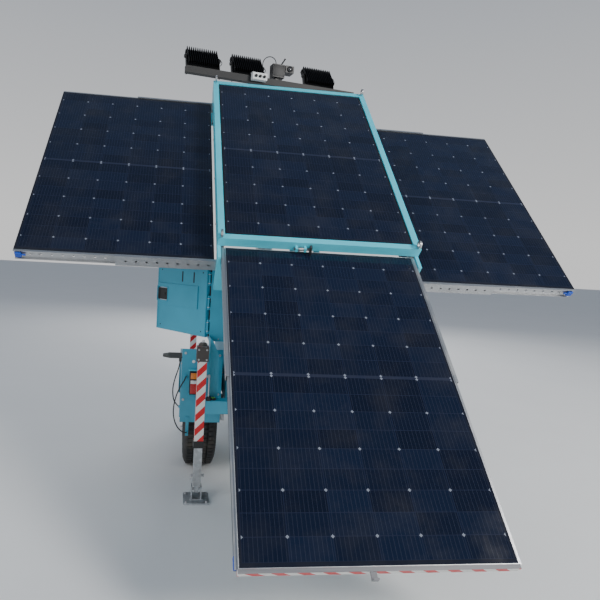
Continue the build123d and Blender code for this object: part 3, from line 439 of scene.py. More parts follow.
jack_low, jack_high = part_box("jack_sleeves")
jack_finish = stripes("jack_tape", (-1, -1, 1), 0.090, (
    (jack_low.z, jack_low.z + 0.044, BLACK), (jack_high.z - 0.092, jack_high.z, (0.060, 0.050, 0.046))))
hook_limit = (slope @ Vector((0, -1.8585, 0))).dot(Vector(UP))
BAR_GREY = (0.20, 0.20, 0.21)
bar_finish = stripes("bar_tape", (1, OUT[1], OUT[2]), 0.100, plain=((UP, hook_limit, BAR_GREY),),
                     bare=((OUT, BAR_GREY),))
tyre_rubber = moulded("tyre_rubber", (0.020, 0.020, 0.021), 0.72, 300, 0.5)
cable_rubber = moulded("cable_rubber", (0.012, 0.012, 0.013), 0.42, 900, 0.1)
gasket_rubber = moulded("gasket_rubber", (0.010, 0.010, 0.011), 0.6)
black_plastic = moulded("black_plastic", (0.010, 0.010, 0.011), 0.45, 700, 0.05)
lever_blue = moulded("lever_blue", (0.008, 0.075, 0.50), 0.35, 700, 0.02)
white_plastic = moulded("white_plastic", (0.72, 0.73, 0.72), 0.38)
battery_case = moulded("battery_case", (0.035, 0.038, 0.042), 0.5)
level_green = moulded("level_green", (0.16, 0.62, 0.05), 0.12, dust=0.02)
amber_lens = moulded("amber_lens", (0.80, 0.24, 0.02), 0.14, 200, 0.05, Coat_Weight=0.6)
red_lens = moulded("red_lens", (0.55, 0.02, 0.02), 0.14, 200, 0.05, Coat_Weight=0.6)
clear_lens = moulded("clear_lens", (0.80, 0.82, 0.84), 0.08, 200, 0.03, Coat_Weight=0.8)
dark_glass = moulded("dark_glass", (0.010, 0.012, 0.018), 0.05, 200, 0.02, Coat_Weight=1.0)
led_yellow = moulded("led_phosphor", (0.86, 0.66, 0.12), 0.3, 400, 0.0)
for piece in (step_cable, fender_cable, lamp_cord):
    piece.data.materials.append(cable_rubber)
print("jack tape from", round(jack_low.z, 3), "to", round(jack_high.z, 3))

# %% [markdown]
# ## A bench for small parts
# Real parts have no knife edges. The bench builds a piece from small rounded shapes, each made
# and bevelled by itself and then joined to one mesh, so corners catch the light as pressed
# steel and mouldings do. The finished piece is told which body it rides on.

# %% Bench
SMOOTH_UNDER = math.radians(34)
EDGE_OVER = math.radians(40)


class Bench:
    """One mesh being built in a local frame."""

    def __init__(self, place=None):
        self.mesh, self.place = bmesh.new(), place or Matrix.Identity(4)

    def take(self, part, bevel, spot=None):
        edges = [e for e in part.edges if e.is_manifold and e.calc_face_angle(0) > EDGE_OVER]
        if bevel and edges:
            bmesh.ops.bevel(part, geom=edges, offset=bevel, segments=2, affect="EDGES", profile=0.6)
        part.transform(self.place @ (spot or Matrix.Identity(4)))
        scratch = bpy.data.meshes.new("scratch")
        part.to_mesh(scratch)
        part.free()
        self.mesh.from_mesh(scratch)
        bpy.data.meshes.remove(scratch)

    def block(self, low, high, bevel=0.0012):
        low, high = Vector(low), Vector(high)
        part = bmesh.new()
        bmesh.ops.create_cube(part, size=1)
        size = Vector(abs(c) for c in high - low)
        for vert in part.verts:
            vert.co = (low + high) / 2 + Vector(a * b for a, b in zip(vert.co, size))
        self.take(part, min(bevel, 0.35 * min(size)))

    def rod(self, start, end, radius, sides=20, bevel=0.0008, tip=None):
        start, end = Vector(start), Vector(end)
        along = end - start
        part = bmesh.new()
        bmesh.ops.create_cone(part, cap_ends=True, segments=sides, radius1=radius,
                              radius2=radius if tip is None else tip, depth=along.length)
        self.take(part, min(bevel, 0.3 * radius, 0.3 * along.length),
                  Matrix.Translation((start + end) / 2) @ along.to_track_quat("Z", "Y").to_matrix().to_4x4())

    def bolt(self, at, along, size=0.007):
        """Hexagon head on a washer; size is the washer's radius."""
        at, along = Vector(at), Vector(along).normalized()
        self.rod(at, at + along * size * 0.18, size, 16, 0.0003)
        self.rod(at + along * size * 0.18, at + along * size * 0.75, size * 0.78, 6, 0.0004)

    def skin(self, part, rings, closed=False):
        """Faces from ring to ring, with both ends capped unless the last meets the first."""
        for near, far in zip(rings, rings[1:] + (rings[:1] if closed else [])):
            for i in range(len(near)):
                after = (i + 1) % len(near)
                part.faces.new((near[i], near[after], far[after], far[i]))
        if not closed:
            part.faces.new(rings[0][::-1])
            part.faces.new(rings[-1])
        bmesh.ops.recalc_face_normals(part, faces=part.faces)

    def turned(self, start, along, profile, sides=32, closed=False):
        """Lathe work: profile is (distance along the axis, radius)."""
        part = bmesh.new()
        rings = []
        for distance, radius in profile:
            rings.append([part.verts.new((radius * math.cos(t), radius * math.sin(t), distance))
                          for t in (math.tau * i / sides for i in range(sides))])
        self.skin(part, rings, closed)
        turn = Vector(along).to_track_quat("Z", "Y").to_matrix().to_4x4()
        self.take(part, 0, Matrix.Translation(start) @ turn)

    def wire(self, points, radius, sides=8):
        """Round wire along points that are already close together."""
        part = bmesh.new()
        rings = []
        points = [Vector(p) for p in points]
        side = None
        for i, point in enumerate(points):
            ahead = (points[min(i + 1, len(points) - 1)] - points[max(i - 1, 0)]).normalized()
            side = (side or ahead.orthogonal()) - ahead * (side or ahead.orthogonal()).dot(ahead)
            side.normalize()
            other = ahead.cross(side)
            rings.append([part.verts.new(point + radius * (side * math.cos(t) + other * math.sin(t)))
                          for t in (math.tau * k / sides for k in range(sides))])
        self.skin(part, rings)
        self.take(part, 0)

    def done(self, name, body, slot, material):
        mesh = bpy.data.meshes.new(name)
        self.mesh.to_mesh(mesh)
        self.mesh.free()
        mesh.shade_smooth()
        mesh.set_sharp_from_angle(angle=SMOOTH_UNDER)
        mesh.materials.append(material)
        piece = bpy.data.objects.new(name, mesh)
        scene.collection.objects.link(piece)
        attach(piece, body)
        print(f"{name}: {len(mesh.polygons)} faces on {body}")
        return piece


# %% [markdown]
# ## Finishes on the designed parts
# The design's own parts keep their shapes and take a finish each. A Weld and a Bevel modifier
# round their outer edges a little, as sheet steel, castings and mouldings are rounded.

# %% Finishes on the designed parts
legs = [f"jack_leg_{end}_{name}" for end in ("front", "rear") for name in SIDES]
# The body parts take the paint's copy darkened as painted shade, and the array frame takes the copy
# brightened as painted sunlight.
finish_of = {
    galvanised: ["chassis_frame", "axle_beam", "drawbar", "mast_base", "mast_section_1",
                 "mast_section_2", "mast_section_3", *legs],
    body_paint: ["jack_beams", "battery_box", "cabinet_shell", "cabinet_roof", "left_door",
                 "right_door", "fenders"],
    frame_paint: ["array_frame"],
    cross_zinc: ["slide_outers"] + [f"{name}_slide_{kind}" for name in ("left", "right", "lower")
                                    for kind in ("inners", "middles")],
    black_rim: ["top_module_frame", "left_module_frame", "right_module_frame"],
    silver_rim: ["lower_module_frame"],
    steel: ["tow_coupler", "coupler_latch", "tilt_pivot", "lifting_eyes", "tilt_actuator_rod"],
    dark_steel: ["panel_latch"],
    black_coat: ["tilt_actuator_body", "lamp_bar"],
    lamp_black: ["lamp_1", "lamp_2", "lamp_3"],
    black_plastic: ["left_latch", "right_latch", "tail_lamps"],
    battery_case: ["batteries"],
    step_coat: ["side_steps"],
    wheel_coat: ["left_rim", "right_rim"],
    tyre_rubber: ["left_tyre", "right_tyre"],
    jack_finish: ["jack_sleeves"],
    bar_finish: ["warning_bar"],
    **{cell_finish[name]: [f"{name}_module_glass"] for name in MODULES},
}


def dress(node, material):
    slots = frame["nodes"][node].data.materials
    slots.clear()
    slots.append(material)


for material, members in finish_of.items():
    for node in members:
        dress(node, material)

ROUNDED = {0.0030: ["chassis_frame", "jack_beams", "battery_box", "drawbar", "jack_sleeves",
                    "mast_base", "side_steps", "lamp_bar"],
           0.0016: ["left_door", "right_door", "cabinet_shell", "cabinet_roof", "fenders",
                    "array_frame", "warning_bar", "tail_lamps", *legs],
           0.0008: [f"{name}_module_frame" for name in MODULES]}


def soften(node, width):
    part = frame["nodes"][node]
    weld = part.modifiers.new("weld", "WELD")
    weld.merge_threshold = 0.00002
    bevel = part.modifiers.new("soft_edges", "BEVEL")
    bevel.width = width
    bevel.segments = 2
    bevel.limit_method = "ANGLE"
    bevel.angle_limit = EDGE_OVER
    bevel.use_clamp_overlap = True
    bevel.harden_normals = True


for width, members in ROUNDED.items():
    for node in members:
        soften(node, width)
print("dressed", sum(len(m) for m in finish_of.values()), "parts")

# %% [markdown]
# ## The head's boxes
# One node holds two things: a white junction box and a black cluster of aerial and sensor. The
# finish splits them by how far along the lamp bar they sit.

# %% Head boxes
head_along = tuple(head.to_3x3() @ Vector((1, 0, 0)))
boxes = Finish("head_boxes", Metallic=0.0)
white_side = boxes.along(head_along, head.translation.dot(Vector(head_along)) - 0.060) < 0
grain = boxes.noise(420, 3)
boxes.show(Base_Color=boxes.mix(white_side, (0.011, 0.011, 0.012), (0.70, 0.71, 0.70)),
           Roughness=0.36 + boxes.noise(9) * 0.2)
boxes.bump(grain, 0.14, 0.0004)
dress("head_boxes", boxes.material)
soften("head_boxes", 0.003)

box_low = Vector((-0.234, -0.090, -0.045))
box_high = Vector((-0.093, -0.030, 0.015))
glands = Bench(head)
for x in (-0.204, -0.163, -0.122):
    glands.turned((x, box_low.y, -0.015), (0, -1, 0), ((0, 0.014), (0.006, 0.014), (0.007, 0.011),
                  (0.017, 0.011), (0.019, 0.008), (0.024, 0.006)), 12)
glands.done("junction_glands", "lamp_head", "latch_black", black_plastic)

lid = Bench(head)
lid.block((box_low.x - 0.003, box_low.y + 0.012, box_high.z - 0.004),
          (box_high.x + 0.003, box_high.y + 0.002, box_high.z + 0.006), 0.003)
for x in (box_low.x + 0.012, box_high.x - 0.012):
    for y in (box_low.y + 0.024, box_high.y - 0.012):
        lid.turned((x, y, box_high.z + 0.006), (0, 0, 1), ((0, 0.005), (0.002, 0.0045), (0.003, 0.003)), 14)
lid.done("junction_lid", "lamp_head", "box_plastic", white_plastic)

eye = Bench(head)
eye.turned((0.148, -0.040, 0.110), (0, -1, 0), ((0, 0.026), (0.010, 0.026), (0.012, 0.021),
           (0.008, 0.019), (0.006, 0.008)), 28)
eye.turned((0.062 + 0.090 * math.sin(math.radians(32)), 0, 0.135 + 0.090 * math.cos(math.radians(32))),
           (math.sin(math.radians(32)), 0, math.cos(math.radians(32))),
           ((-0.004, 0.0088), (0.001, 0.0088), (0.003, 0.006)), 16)
eye.block((-0.022, -0.047, 0.028), (0.092, -0.044, 0.132), 0.002)
for x in (-0.010, 0.080):
    for z in (0.038, 0.122):
        eye.turned((x, -0.047, z), (0, -1, 0), ((0, 0.0045), (0.002, 0.004), (0.003, 0.0025)), 12)
eye.done("sensor_details", "lamp_head", "box_plastic", black_plastic)
sensor_glass = Bench(head)
sensor_glass.turned((0.148, -0.046, 0.110), (0, -1, 0),
                    ((0, 0.018), (0.003, 0.015), (0.005, 0.008), (0.0055, 0.001)), 24)
sensor_glass.done("sensor_lens", "lamp_head", "lamp_lens", dark_glass)

# %% [markdown]
# ## Floodlights
# The side with the light has rows of small lenses over yellow emitters in a silver reflector,
# and the back is all cooling fins. A star knob on each side clamps the lamp in its yoke.

# %% Floodlights
LENS_COLUMNS, LENS_ROWS = 8, 5
LENS_PITCH = 0.0325
for name, place in lamps.items():
    board = Bench(place)
    board.block((-0.136, 0.0295, -0.0935), (0.136, 0.0318, 0.0935), 0.001)
    lenses, emitters = Bench(place), Bench(place)
    for column in range(LENS_COLUMNS):
        for row in range(LENS_ROWS):
            x = (column - (LENS_COLUMNS - 1) / 2) * LENS_PITCH
            z = (row - (LENS_ROWS - 1) / 2) * LENS_PITCH
            lenses.turned((x, 0.0318, z), (0, 1, 0), ((0, 0.0125), (0.0008, 0.0128), (0.0022, 0.0105),
                          (0.0030, 0.0065), (0.0031, 0.001)), 14)
            emitters.block((x - 0.004, 0.0316, z - 0.004), (x + 0.004, 0.0322, z + 0.004), 0.0002)
    board.done(f"{name}_reflector", name, "silver_rim", silver_rim)
    lenses.done(f"{name}_lenses", name, "lamp_lens", clear_lens)
    emitters.done(f"{name}_emitters", name, "lamp_lens", led_yellow)
    trim = Bench(place)
    for side in (-1, 1):
        for x, z in ((0.118, -0.100), (0.118, 0.100), (0.040, 0.1005), (0.040, -0.1005)):
            trim.bolt((side * x, 0.035, z), (0, 1, 0), 0.0042)
    trim.done(f"{name}_screws", name, "steel", steel)
    knobs = Bench(place)
    for side in (-1, 1):
        knobs.turned((side * 0.1595, 0, 0), (side, 0, 0), ((0, 0.012), (0.002, 0.012), (0.003, 0.018),
                     (0.011, 0.018), (0.013, 0.015), (0.0135, 0.006)), 10)
    knobs.done(f"{name}_knobs", name, "latch_black", black_plastic)

# %% [markdown]
# ## The lamp bar
# The bar is a square tube with plastic end caps, bolted down on its turning boss.

# %% Lamp bar
BAR_HALF, BAR_SIZE = 0.845, 0.060
caps = Bench(head)
for side in (-1, 1):
    caps.block((side * (BAR_HALF - 0.002), -0.030, -BAR_SIZE), (side * (BAR_HALF + 0.005), 0.030, 0), 0.003)
caps.done("bar_caps", "lamp_head", "latch_black", black_plastic)
bar_bolts = Bench(head)
for x in (-0.027, 0.027):
    for y in (-0.012, 0.012):
        bar_bolts.bolt((x * 2.1, y, 0), (0, 0, 1), 0.0075)
for place in (-0.675, -0.240, 0.500):
    for side in (-1, 1):
        bar_bolts.bolt((place + side * 0.1595, 0.040, -0.030), (side, 0, 0), 0.0075)
bar_bolts.done("bar_bolts", "lamp_head", "steel", steel)

# %% [markdown]
# ## Catches on the slides
# Each telescopic slide locks with a blue lever at its end. The lever sits inside the inner
# member, so it still clears the outer one when a panel is pushed home.

# %% Slide catches
for name, side in SIDES.items():
    w = 0.166 if name == "left" else 0.066
    catch, stops = Bench(slope), Bench(slope)
    for near, far, face, way in ((-0.158, -0.1435, -0.1425, -1), (1.5855, 1.600, 1.5845, 1)):
        catch.block((side * 1.752, near, w - 0.018), (side * 1.716, far, w + 0.018), 0.004)
        catch.rod((side * 1.716, (near + far) / 2, w), (side * 1.694, (near + far) / 2, w), 0.0055)
        for x in (1.660, 1.620, 0.700, 0.660):
            stops.bolt((side * x, face, w), (0, way, 0), 0.006)
    catch.done(f"{name}_wing_catches", f"{name}_wing", "box_plastic", lever_blue)
    stops.done(f"{name}_wing_rivets", f"{name}_wing", "steel", steel)
lower_catch = Bench(slope)
for side in SIDES.values():
    lower_catch.block((side * 0.5700, -1.838, 0.243), (side * 0.5835, -1.790, 0.271), 0.004)
    lower_catch.block((side * 0.5700, -1.790, 0.251), (side * 0.5780, -1.765, 0.263), 0.002)
lower_catch.done("lower_catches", "lower_panel", "box_plastic", lever_blue)

# %% [markdown]
# ## Junction boxes and the panel latch
# Three flat boxes at mid-length join the cells of each module behind the glass. The lower
# panel's bolt carries a return spring, which is a helix of wire between the bolt's two guides.

# %% Junction boxes and spring
MODULE_AT = {"top": (0, 0.791, 0.340, "array"), "left": (-1.19, 0.721, 0.200, "left_wing"),
             "right": (1.19, 0.721, 0.100, "right_wing"), "lower": (0, -0.979, 0.280, "lower_panel")}
for name, (x, v, w, body) in MODULE_AT.items():
    back_boxes = Bench(slope)
    for offset in (-0.36, 0, 0.36):
        back_boxes.block((x + offset - 0.035, v - 0.030, w - 0.024),
                         (x + offset + 0.035, v + 0.030, w - 0.006), 0.003)
    back_boxes.done(f"{name}_junctions", body, "latch_black", black_plastic)
BOLT_V, BOLT_W = -0.126, 0.307
spring = Bench(slope)
TURNS, STEPS = 9, 12
spring.wire([(-0.141 + 0.034 * i / (TURNS * STEPS), BOLT_V + 0.0105 * math.cos(math.tau * i / STEPS),
              BOLT_W + 0.0105 * math.sin(math.tau * i / STEPS)) for i in range(TURNS * STEPS + 1)], 0.0011, 6)
spring.done("latch_spring", "array", "steel", steel)
handle = Bench(slope)
handle.wire([(-0.066, -0.136 - 0.017 * math.sin(math.pi * i / 14), 0.300 - 0.030 * math.cos(math.pi * i / 14))
             for i in range(15)], 0.0038, 10)
handle.done("latch_handle", "latch_bolt", "latch_black", black_plastic)
frame_bolts = Bench(slope)
for x in (-0.52, -0.30, -0.10, 0.10, 0.30, 0.52):
    frame_bolts.bolt((x, -0.205, 0.110), (0, -1, 0), 0.010)
    frame_bolts.bolt((x, 1.647, 0.110), (0, 1, 0), 0.010)
for side in SIDES.values():
    for v in (0.10, 0.55, 1.00, 1.45):
        frame_bolts.bolt((side * 0.612, v, 0.262), (side, 0, 0), 0.008)
frame_bolts.done("frame_bolts", "array", "steel", steel)

# %% [markdown]
# ## Doors
# A pressed door has a raised rim, two vent slots and a recess for its paddle latch. The
# cabinet's rubber seal runs round the opening, and white washers end each hinge knuckle.

# %% Doors
DOOR_FACE, STRIP_FACE, HANDLE_Z = 0.635, 0.641, 1.233
door_front = pivot.y + 0.065
DOOR_TOP, DOOR_LOW = 1.433, 0.983
KNUCKLE_X, HINGE_INSET = 0.624, 0.070
PLAQUE = (0, 0.005), (0.0016, 0.005), (0.002, 0.003)
LOCK = (0, 0.009), (0.003, 0.009), (0.004, 0.007), (0.004, 0.002)
for name, side in SIDES.items():
    rim, slots, sleeves = (Bench(doors[name]) for _ in range(3))
    near, far = side * (DOOR_FACE - 0.001), side * (DOOR_FACE + 0.0022)
    for y0, y1, z0, z1 in ((0.004, 0.516, DOOR_TOP - 0.016, DOOR_TOP - 0.004),
                           (0.004, 0.516, DOOR_LOW + 0.004, DOOR_LOW + 0.016),
                           (0.004, 0.016, DOOR_LOW + 0.016, DOOR_TOP - 0.016),
                           (0.504, 0.516, DOOR_LOW + 0.016, DOOR_TOP - 0.016)):
        rim.block((near, door_front + y0, z0), (far, door_front + y1, z1), 0.001)
    face, lip = side * (STRIP_FACE - 0.001), side * (STRIP_FACE + 0.0025)
    for y0, y1, z0, z1 in ((0.394, 0.516, 0.046, 0.054), (0.394, 0.516, -0.054, -0.046),
                           (0.394, 0.400, -0.046, 0.046), (0.510, 0.516, -0.046, 0.046)):
        rim.block((face, door_front + y0, HANDLE_Z + z0), (lip, door_front + y1, HANDLE_Z + z1), 0.001)
    rim.done(f"{name}_door_rim", f"{name}_door", "body_paint", body_paint)
    for y in (0.134, 0.251):
        slots.block((near, door_front + y - 0.006, 1.328),
                    (side * (DOOR_FACE + 0.0006), door_front + y + 0.006, 1.398), 0.0055)
    for y, z in ((0.045, 1.400), (0.475, 1.400), (0.045, 1.015), (0.475, 1.015)):
        slots.turned((near, door_front + y, z), (side, 0, 0), PLAQUE, 14)
    slots.done(f"{name}_door_slots", f"{name}_door", "latch_black", gasket_rubber)
    for z in (DOOR_LOW + HINGE_INSET, (DOOR_LOW + DOOR_TOP) / 2, DOOR_TOP - HINGE_INSET):
        for end in (-1, 1):
            sleeves.rod((side * KNUCKLE_X, door_front - 0.007, z + end * 0.0270),
                        (side * KNUCKLE_X, door_front - 0.007, z + end * 0.0298), 0.0086)
    sleeves.done(f"{name}_hinge_sleeves", f"{name}_door", "box_plastic", white_plastic)
    grip = Bench(doors[name])
    grip.block((side * 0.6395, door_front + 0.488, HANDLE_Z - 0.034),
               (side * 0.6440, door_front + 0.500, HANDLE_Z + 0.034), 0.0015)
    grip.turned((side * 0.6395, door_front + 0.432, HANDLE_Z), (side, 0, 0), LOCK, 18)
    grip.done(f"{name}_latch_grip", f"{name}_latch", "latch_black", black_plastic)

seal, gear = Bench(), Bench()
for side in SIDES.values():
    for y0, y1, z0, z1 in ((0.005, 0.515, 1.4205, 1.4285), (0.005, 0.515, 0.9875, 0.9945),
                           (0.005, 0.0115, 0.9945, 1.4205), (0.5085, 0.515, 0.9945, 1.4205)):
        seal.block((side * 0.6105, door_front + y0, z0), (side * 0.6180, door_front + y1, z1), 0.002)
seal.done("door_seals", "root", "cable_rubber", gasket_rubber)
for y0, y1, z0, z1 in ((0.06, 0.21, 1.10, 1.34), (0.24, 0.34, 1.18, 1.34), (0.37, 0.48, 1.12, 1.32)):
    gear.block((-0.500, door_front + y0, z0), (-0.430, door_front + y1, z1), 0.006)
for i in range(6):
    gear.block((-0.520, door_front + 0.245 + 0.016 * i, 1.20),
               (-0.499, door_front + 0.258 + 0.016 * i, 1.28), 0.002)
gear.block((-0.430, door_front + 0.03, 1.02), (-0.425, door_front + 0.50, 1.40), 0.001)
gear.done("control_gear", "root", "box_plastic", white_plastic)

# %% [markdown]
# ## Rivets and bolts of the body
# Folded sheet is held by rows of domed rivets. Rows placed by a loop keep an even pitch.

# %% Rivets
body_front, body_end = pivot.y + 0.045, pivot.y + 1.580
rivets = Bench()
DOME = ((0, 0.0045), (0.0010, 0.0042), (0.0018, 0.0028), (0.0021, 0.0008))
for side in SIDES.values():
    for z in (0.970, 1.433):
        for i in range(8):
            rivets.turned((side * 0.6108, body_front + 0.63 + i * 0.125, z), (side, 0, 0), DOME, 10)
for z in (0.975, 1.425):
    for i in range(11):
        rivets.turned((-0.55 + i * 0.11, body_front + 0.0002, z), (0, -1, 0), DOME, 10)
        rivets.turned((-0.55 + i * 0.11, body_end - 0.0002, z), (0, 1, 0), DOME, 10)
rivets.done("body_rivets", "root", "steel", steel)

# %% [markdown]
# ## Fenders and steps
# The wheel arch has a rolled lip for stiffness, and the step has raised ribs against slipping.

# %% Fenders
wheel_mid = pivot.y + 0.480
LIP_RADIUS = 0.3755
FENDER_BOLTS = ((0.530, 0.600), (0.530, 0.860), (0.640, 0.860), (0.755, 0.870), (0.760, 0.560),
                (0.640, 0.760))
CAP = (0, 0.010), (0.005, 0.010), (0.007, 0.007), (0.0075, 0.002)
lips, fender_bolts, caps, ribs = (Bench() for _ in range(4))
for side in SIDES.values():
    lips.wire([(side * 0.7765, wheel_mid + LIP_RADIUS * math.cos(math.radians(a)),
                0.350 + LIP_RADIUS * math.sin(math.radians(a))) for a in range(11, 171, 4)], 0.0045)
    for x, z in FENDER_BOLTS:
        fender_bolts.bolt((side * x, plate_y, z), (0, -1, 0), 0.0085)
    for y, z in ((0.05, 0.79), (0.18, 0.79), (0.40, 0.745), (0.60, 0.745)):
        fender_bolts.bolt((side * 0.776, plate_y + y, z), (side, 0, 0), 0.0075)
    for x in (0.575, 0.700):
        caps.turned((side * x, plate_y, 0.815), (0, -1, 0), CAP, 16)
    for i in range(7):
        ribs.block((side * 0.784, plate_y + 0.044 + i * 0.019, 0.8395),
                   (side * 0.868, plate_y + 0.052 + i * 0.019, 0.8430), 0.0012)
lips.done("arch_lips", "root", "body_paint", body_paint)
fender_bolts.done("fender_bolts", "root", "steel", steel)
caps.done("fender_caps", "root", "box_plastic", white_coat)
ribs.done("step_ribs", "root", "tread_plate", step_coat)

# %% [markdown]
# ## Tail lamps
# The lenses are thin coloured mouldings over the lamp's black shell, ribbed with fine blocks.

# %% Tail lamps
amber, red, clear, brackets = (Bench() for _ in range(4))
LENSES = ((amber, 0.7115, 0.7505, 0.0605), (clear, 0.6795, 0.7010, 0.0565),
          (red, 0.6145, 0.6790, 0.0565))
for side in SIDES.values():
    for bench, z0, z1, front in LENSES:
        x0, x1 = side * 0.695 - 0.0225, side * 0.695 + 0.0225
        bench.block((x0, plate_y - front, z0), (x1, plate_y - front + 0.004, z1), 0.0015)
        for i in range(7):
            bench.block((x0 + 0.003 + i * 0.0057, plate_y - front - 0.0010, z0 + 0.003),
                        (x0 + 0.0065 + i * 0.0057, plate_y - front + 0.0005, z1 - 0.003), 0.0004)
    brackets.block((side * 0.665, plate_y - 0.020, 0.598), (side * 0.725, plate_y, 0.606), 0.002)
    brackets.block((side * 0.660, plate_y - 0.030, 0.757), (side * 0.730, plate_y, 0.766), 0.003)
amber.done("amber_lenses", "root", "lamp_lens", amber_lens)
red.done("red_lenses", "root", "lamp_lens", red_lens)
clear.done("clear_lenses", "root", "lamp_lens", clear_lens)
# The brackets take the paint's brighter copy, which is painted sunlight.
brackets.done("lamp_brackets", "root", "frame_paint", frame_paint)

# %% [markdown]
# ## Corner jacks
# A jack's head carries a stack of rings round its screw. The near left one has its crank
# hanging down, and each leg has a pin with a ring through its lower hole.

# %% Jacks
heads, nuts = Bench(), Bench()
RING = 0.016
for end, y in (("front", pivot.y - 0.170), ("rear", pivot.y + 1.335)):
    for name, side in SIDES.items():
        x = side * 0.660
        heads.turned((x, y, 0.9635), (0, 0, 1), ((0, 0.030), (0.004, 0.030), (0.005, 0.024), (0.009, 0.024),
                     (0.010, 0.028), (0.014, 0.028), (0.015, 0.021), (0.020, 0.021), (0.022, 0.016)), 28)
        nuts.rod((x, y, 0.9845), (x, y, 1.000), 0.010, 6, 0.001)
        for z in (0.885, 0.945):
            nuts.bolt((x - 0.024, y - 0.037, z), (0, -1, 0), 0.006)
            nuts.bolt((x + 0.024, y - 0.037, z), (0, -1, 0), 0.006)
        pin = Bench()
        pin.rod((x - 0.038, y, 0.155), (x + 0.038, y, 0.155), 0.0072)
        pin.turned((x + 0.038, y, 0.155), (1, 0, 0), ((0, 0.0105), (0.004, 0.0105), (0.005, 0.008)), 18)
        pin.wire([(x - 0.040, y + RING * math.sin(math.tau * i / 20),
                   0.141 + RING * math.cos(math.tau * i / 20)) for i in range(21)], 0.0012, 6)
        for dx in (-0.062, 0.062):
            for dy in (-0.062, 0.062):
                pin.bolt((x + dx, y + dy, 0.012), (0, 0, 1), 0.009)
        pin.done(f"{end}_{name}_leg_pin", f"leg_{end}_{name}", "steel", steel)
heads.done("jack_rings", "root", "black_metal", grey_coat)
nuts.done("jack_nuts", "root", "steel", steel)
crank, crank_grip = Bench(), Bench()
jack_y = pivot.y - 0.170
crank.rod((-0.6325, jack_y - 0.010, 0.780), (-0.608, jack_y - 0.010, 0.780), 0.009)
crank.block((-0.618, jack_y - 0.018, 0.640), (-0.610, jack_y - 0.002, 0.790), 0.002)
crank.done("jack_crank", "root", "steel", steel)
crank_grip.turned((-0.612, jack_y - 0.010, 0.655), (0, 0, -1),
                  ((0, 0.010), (0.004, 0.014), (0.060, 0.014), (0.072, 0.012), (0.076, 0.006)), 24)
crank_grip.done("crank_grip", "root", "latch_black", black_plastic)

# %% [markdown]
# ## Bubble level
# A round level on the jack beam shows when the trailer stands upright. It is lathe work too.

# %% Bubble level
bezel, bubble = Bench(), Bench()
level_at = (-0.585, pivot.y - 0.155, 0.6295)
bezel.turned(level_at, (0, 0, 1), ((0, 0.020), (0.010, 0.020), (0.012, 0.018), (0.012, 0.015)), 32)
bubble.turned((level_at[0], level_at[1], 0.6405), (0, 0, 1),
              ((0, 0.0150), (0.002, 0.0145), (0.0035, 0.010), (0.004, 0.003)), 32)
bezel.done("level_bezel", "root", "latch_black", black_plastic)
bubble.done("level_glass", "root", "lamp_lens", level_green)

# %% [markdown]
# ## Wheels
# A tyre is lathe work with grooves, and small blocks set round it make the tread. It takes the
# place of the design's plain tyre. Nuts, a hub cap and a valve finish the rim.

# %% Wheels
TREAD, TREAD_FLOOR = 0.3490, 0.3420
outside = [(-0.0825, 0.1905), (-0.0975, 0.2045), (-0.1050, 0.2150), (-0.1065, 0.2180), (-0.1105, 0.2400),
           (-0.1125, 0.2655), (-0.1115, 0.2800), (-0.1098, 0.2815), (-0.1098, 0.2860), (-0.1110, 0.2875),
           (-0.1085, 0.3100), (-0.0980, 0.3350), (-0.0900, TREAD_FLOOR)]
grooves = [(g + d, TREAD_FLOOR - h) for g in (-0.046, 0, 0.046)
           for d, h in ((-0.004, 0), (-0.003, 0.007), (0.003, 0.007), (0.004, 0))]
inside = [(0.0745, 0.1895), (0.0905, 0.2145), (0.1005, 0.2655), (0.0865, 0.3200)]
profile = (outside + grooves + [(-d, r) for d, r in reversed(outside)] + inside
           + [(-d, r) for d, r in reversed(inside)])
TREAD_ROWS = ((-0.089, -0.052, 0), (-0.040, -0.006, 0.5), (0.006, 0.040, 0), (0.052, 0.089, 0.5))
TREAD_COUNT = 66
NUT_CIRCLE = 0.086
NUT = (0, 0.013), (0.003, 0.013), (0.004, 0.0105), (0.017, 0.0100), (0.021, 0.006)
for name, side in SIDES.items():
    centre = joint_place(f"{name}_wheel_spin")
    tyre = Bench()
    tyre.turned(centre, (1, 0, 0), profile, 96, closed=True)
    for near, far, phase in TREAD_ROWS:
        for i in range(TREAD_COUNT):
            turn = Matrix.Rotation(math.tau * (i + phase) / TREAD_COUNT, 4, "X")
            tyre.place = Matrix.Translation(centre) @ turn
            tyre.block((near, -0.0125, TREAD_FLOOR - 0.003), (far, 0.0125, TREAD), 0.0015)
    tread = tyre.done(f"{name}_treaded_tyre", f"{name}_wheel", "tyre", tyre_rubber)
    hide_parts(f"{name}_tyre")
    hub, valve = Bench(), Bench()
    for i in range(6):
        a = math.tau * i / 6
        hub.turned((side * 0.6415, centre.y + NUT_CIRCLE * math.cos(a), centre.z + NUT_CIRCLE * math.sin(a)),
                   (side, 0, 0), NUT, 6)
    hub.turned((side * 0.6765, centre.y, centre.z), (side, 0, 0), ((0, 0.034), (0.006, 0.034), (0.008, 0.031),
               (0.020, 0.030), (0.024, 0.026), (0.026, 0.016), (0.0265, 0.003)), 36)
    hub.done(f"{name}_hub_nuts", f"{name}_wheel", "steel", steel)
    valve.rod((side * 0.690, centre.y, centre.z + 0.176),
              (side * 0.718, centre.y, centre.z + 0.170), 0.0045, 14)
    valve.done(f"{name}_valve", f"{name}_wheel", "cable_rubber", black_plastic)

# %% [markdown]
# ## Mast, lamp brackets and coupler
# Rows of bolts ring the top of each mast section and hold the foot plate. A bent wire loop
# stands on the right side of each lamp, made by sweeping a small circle along an arc.

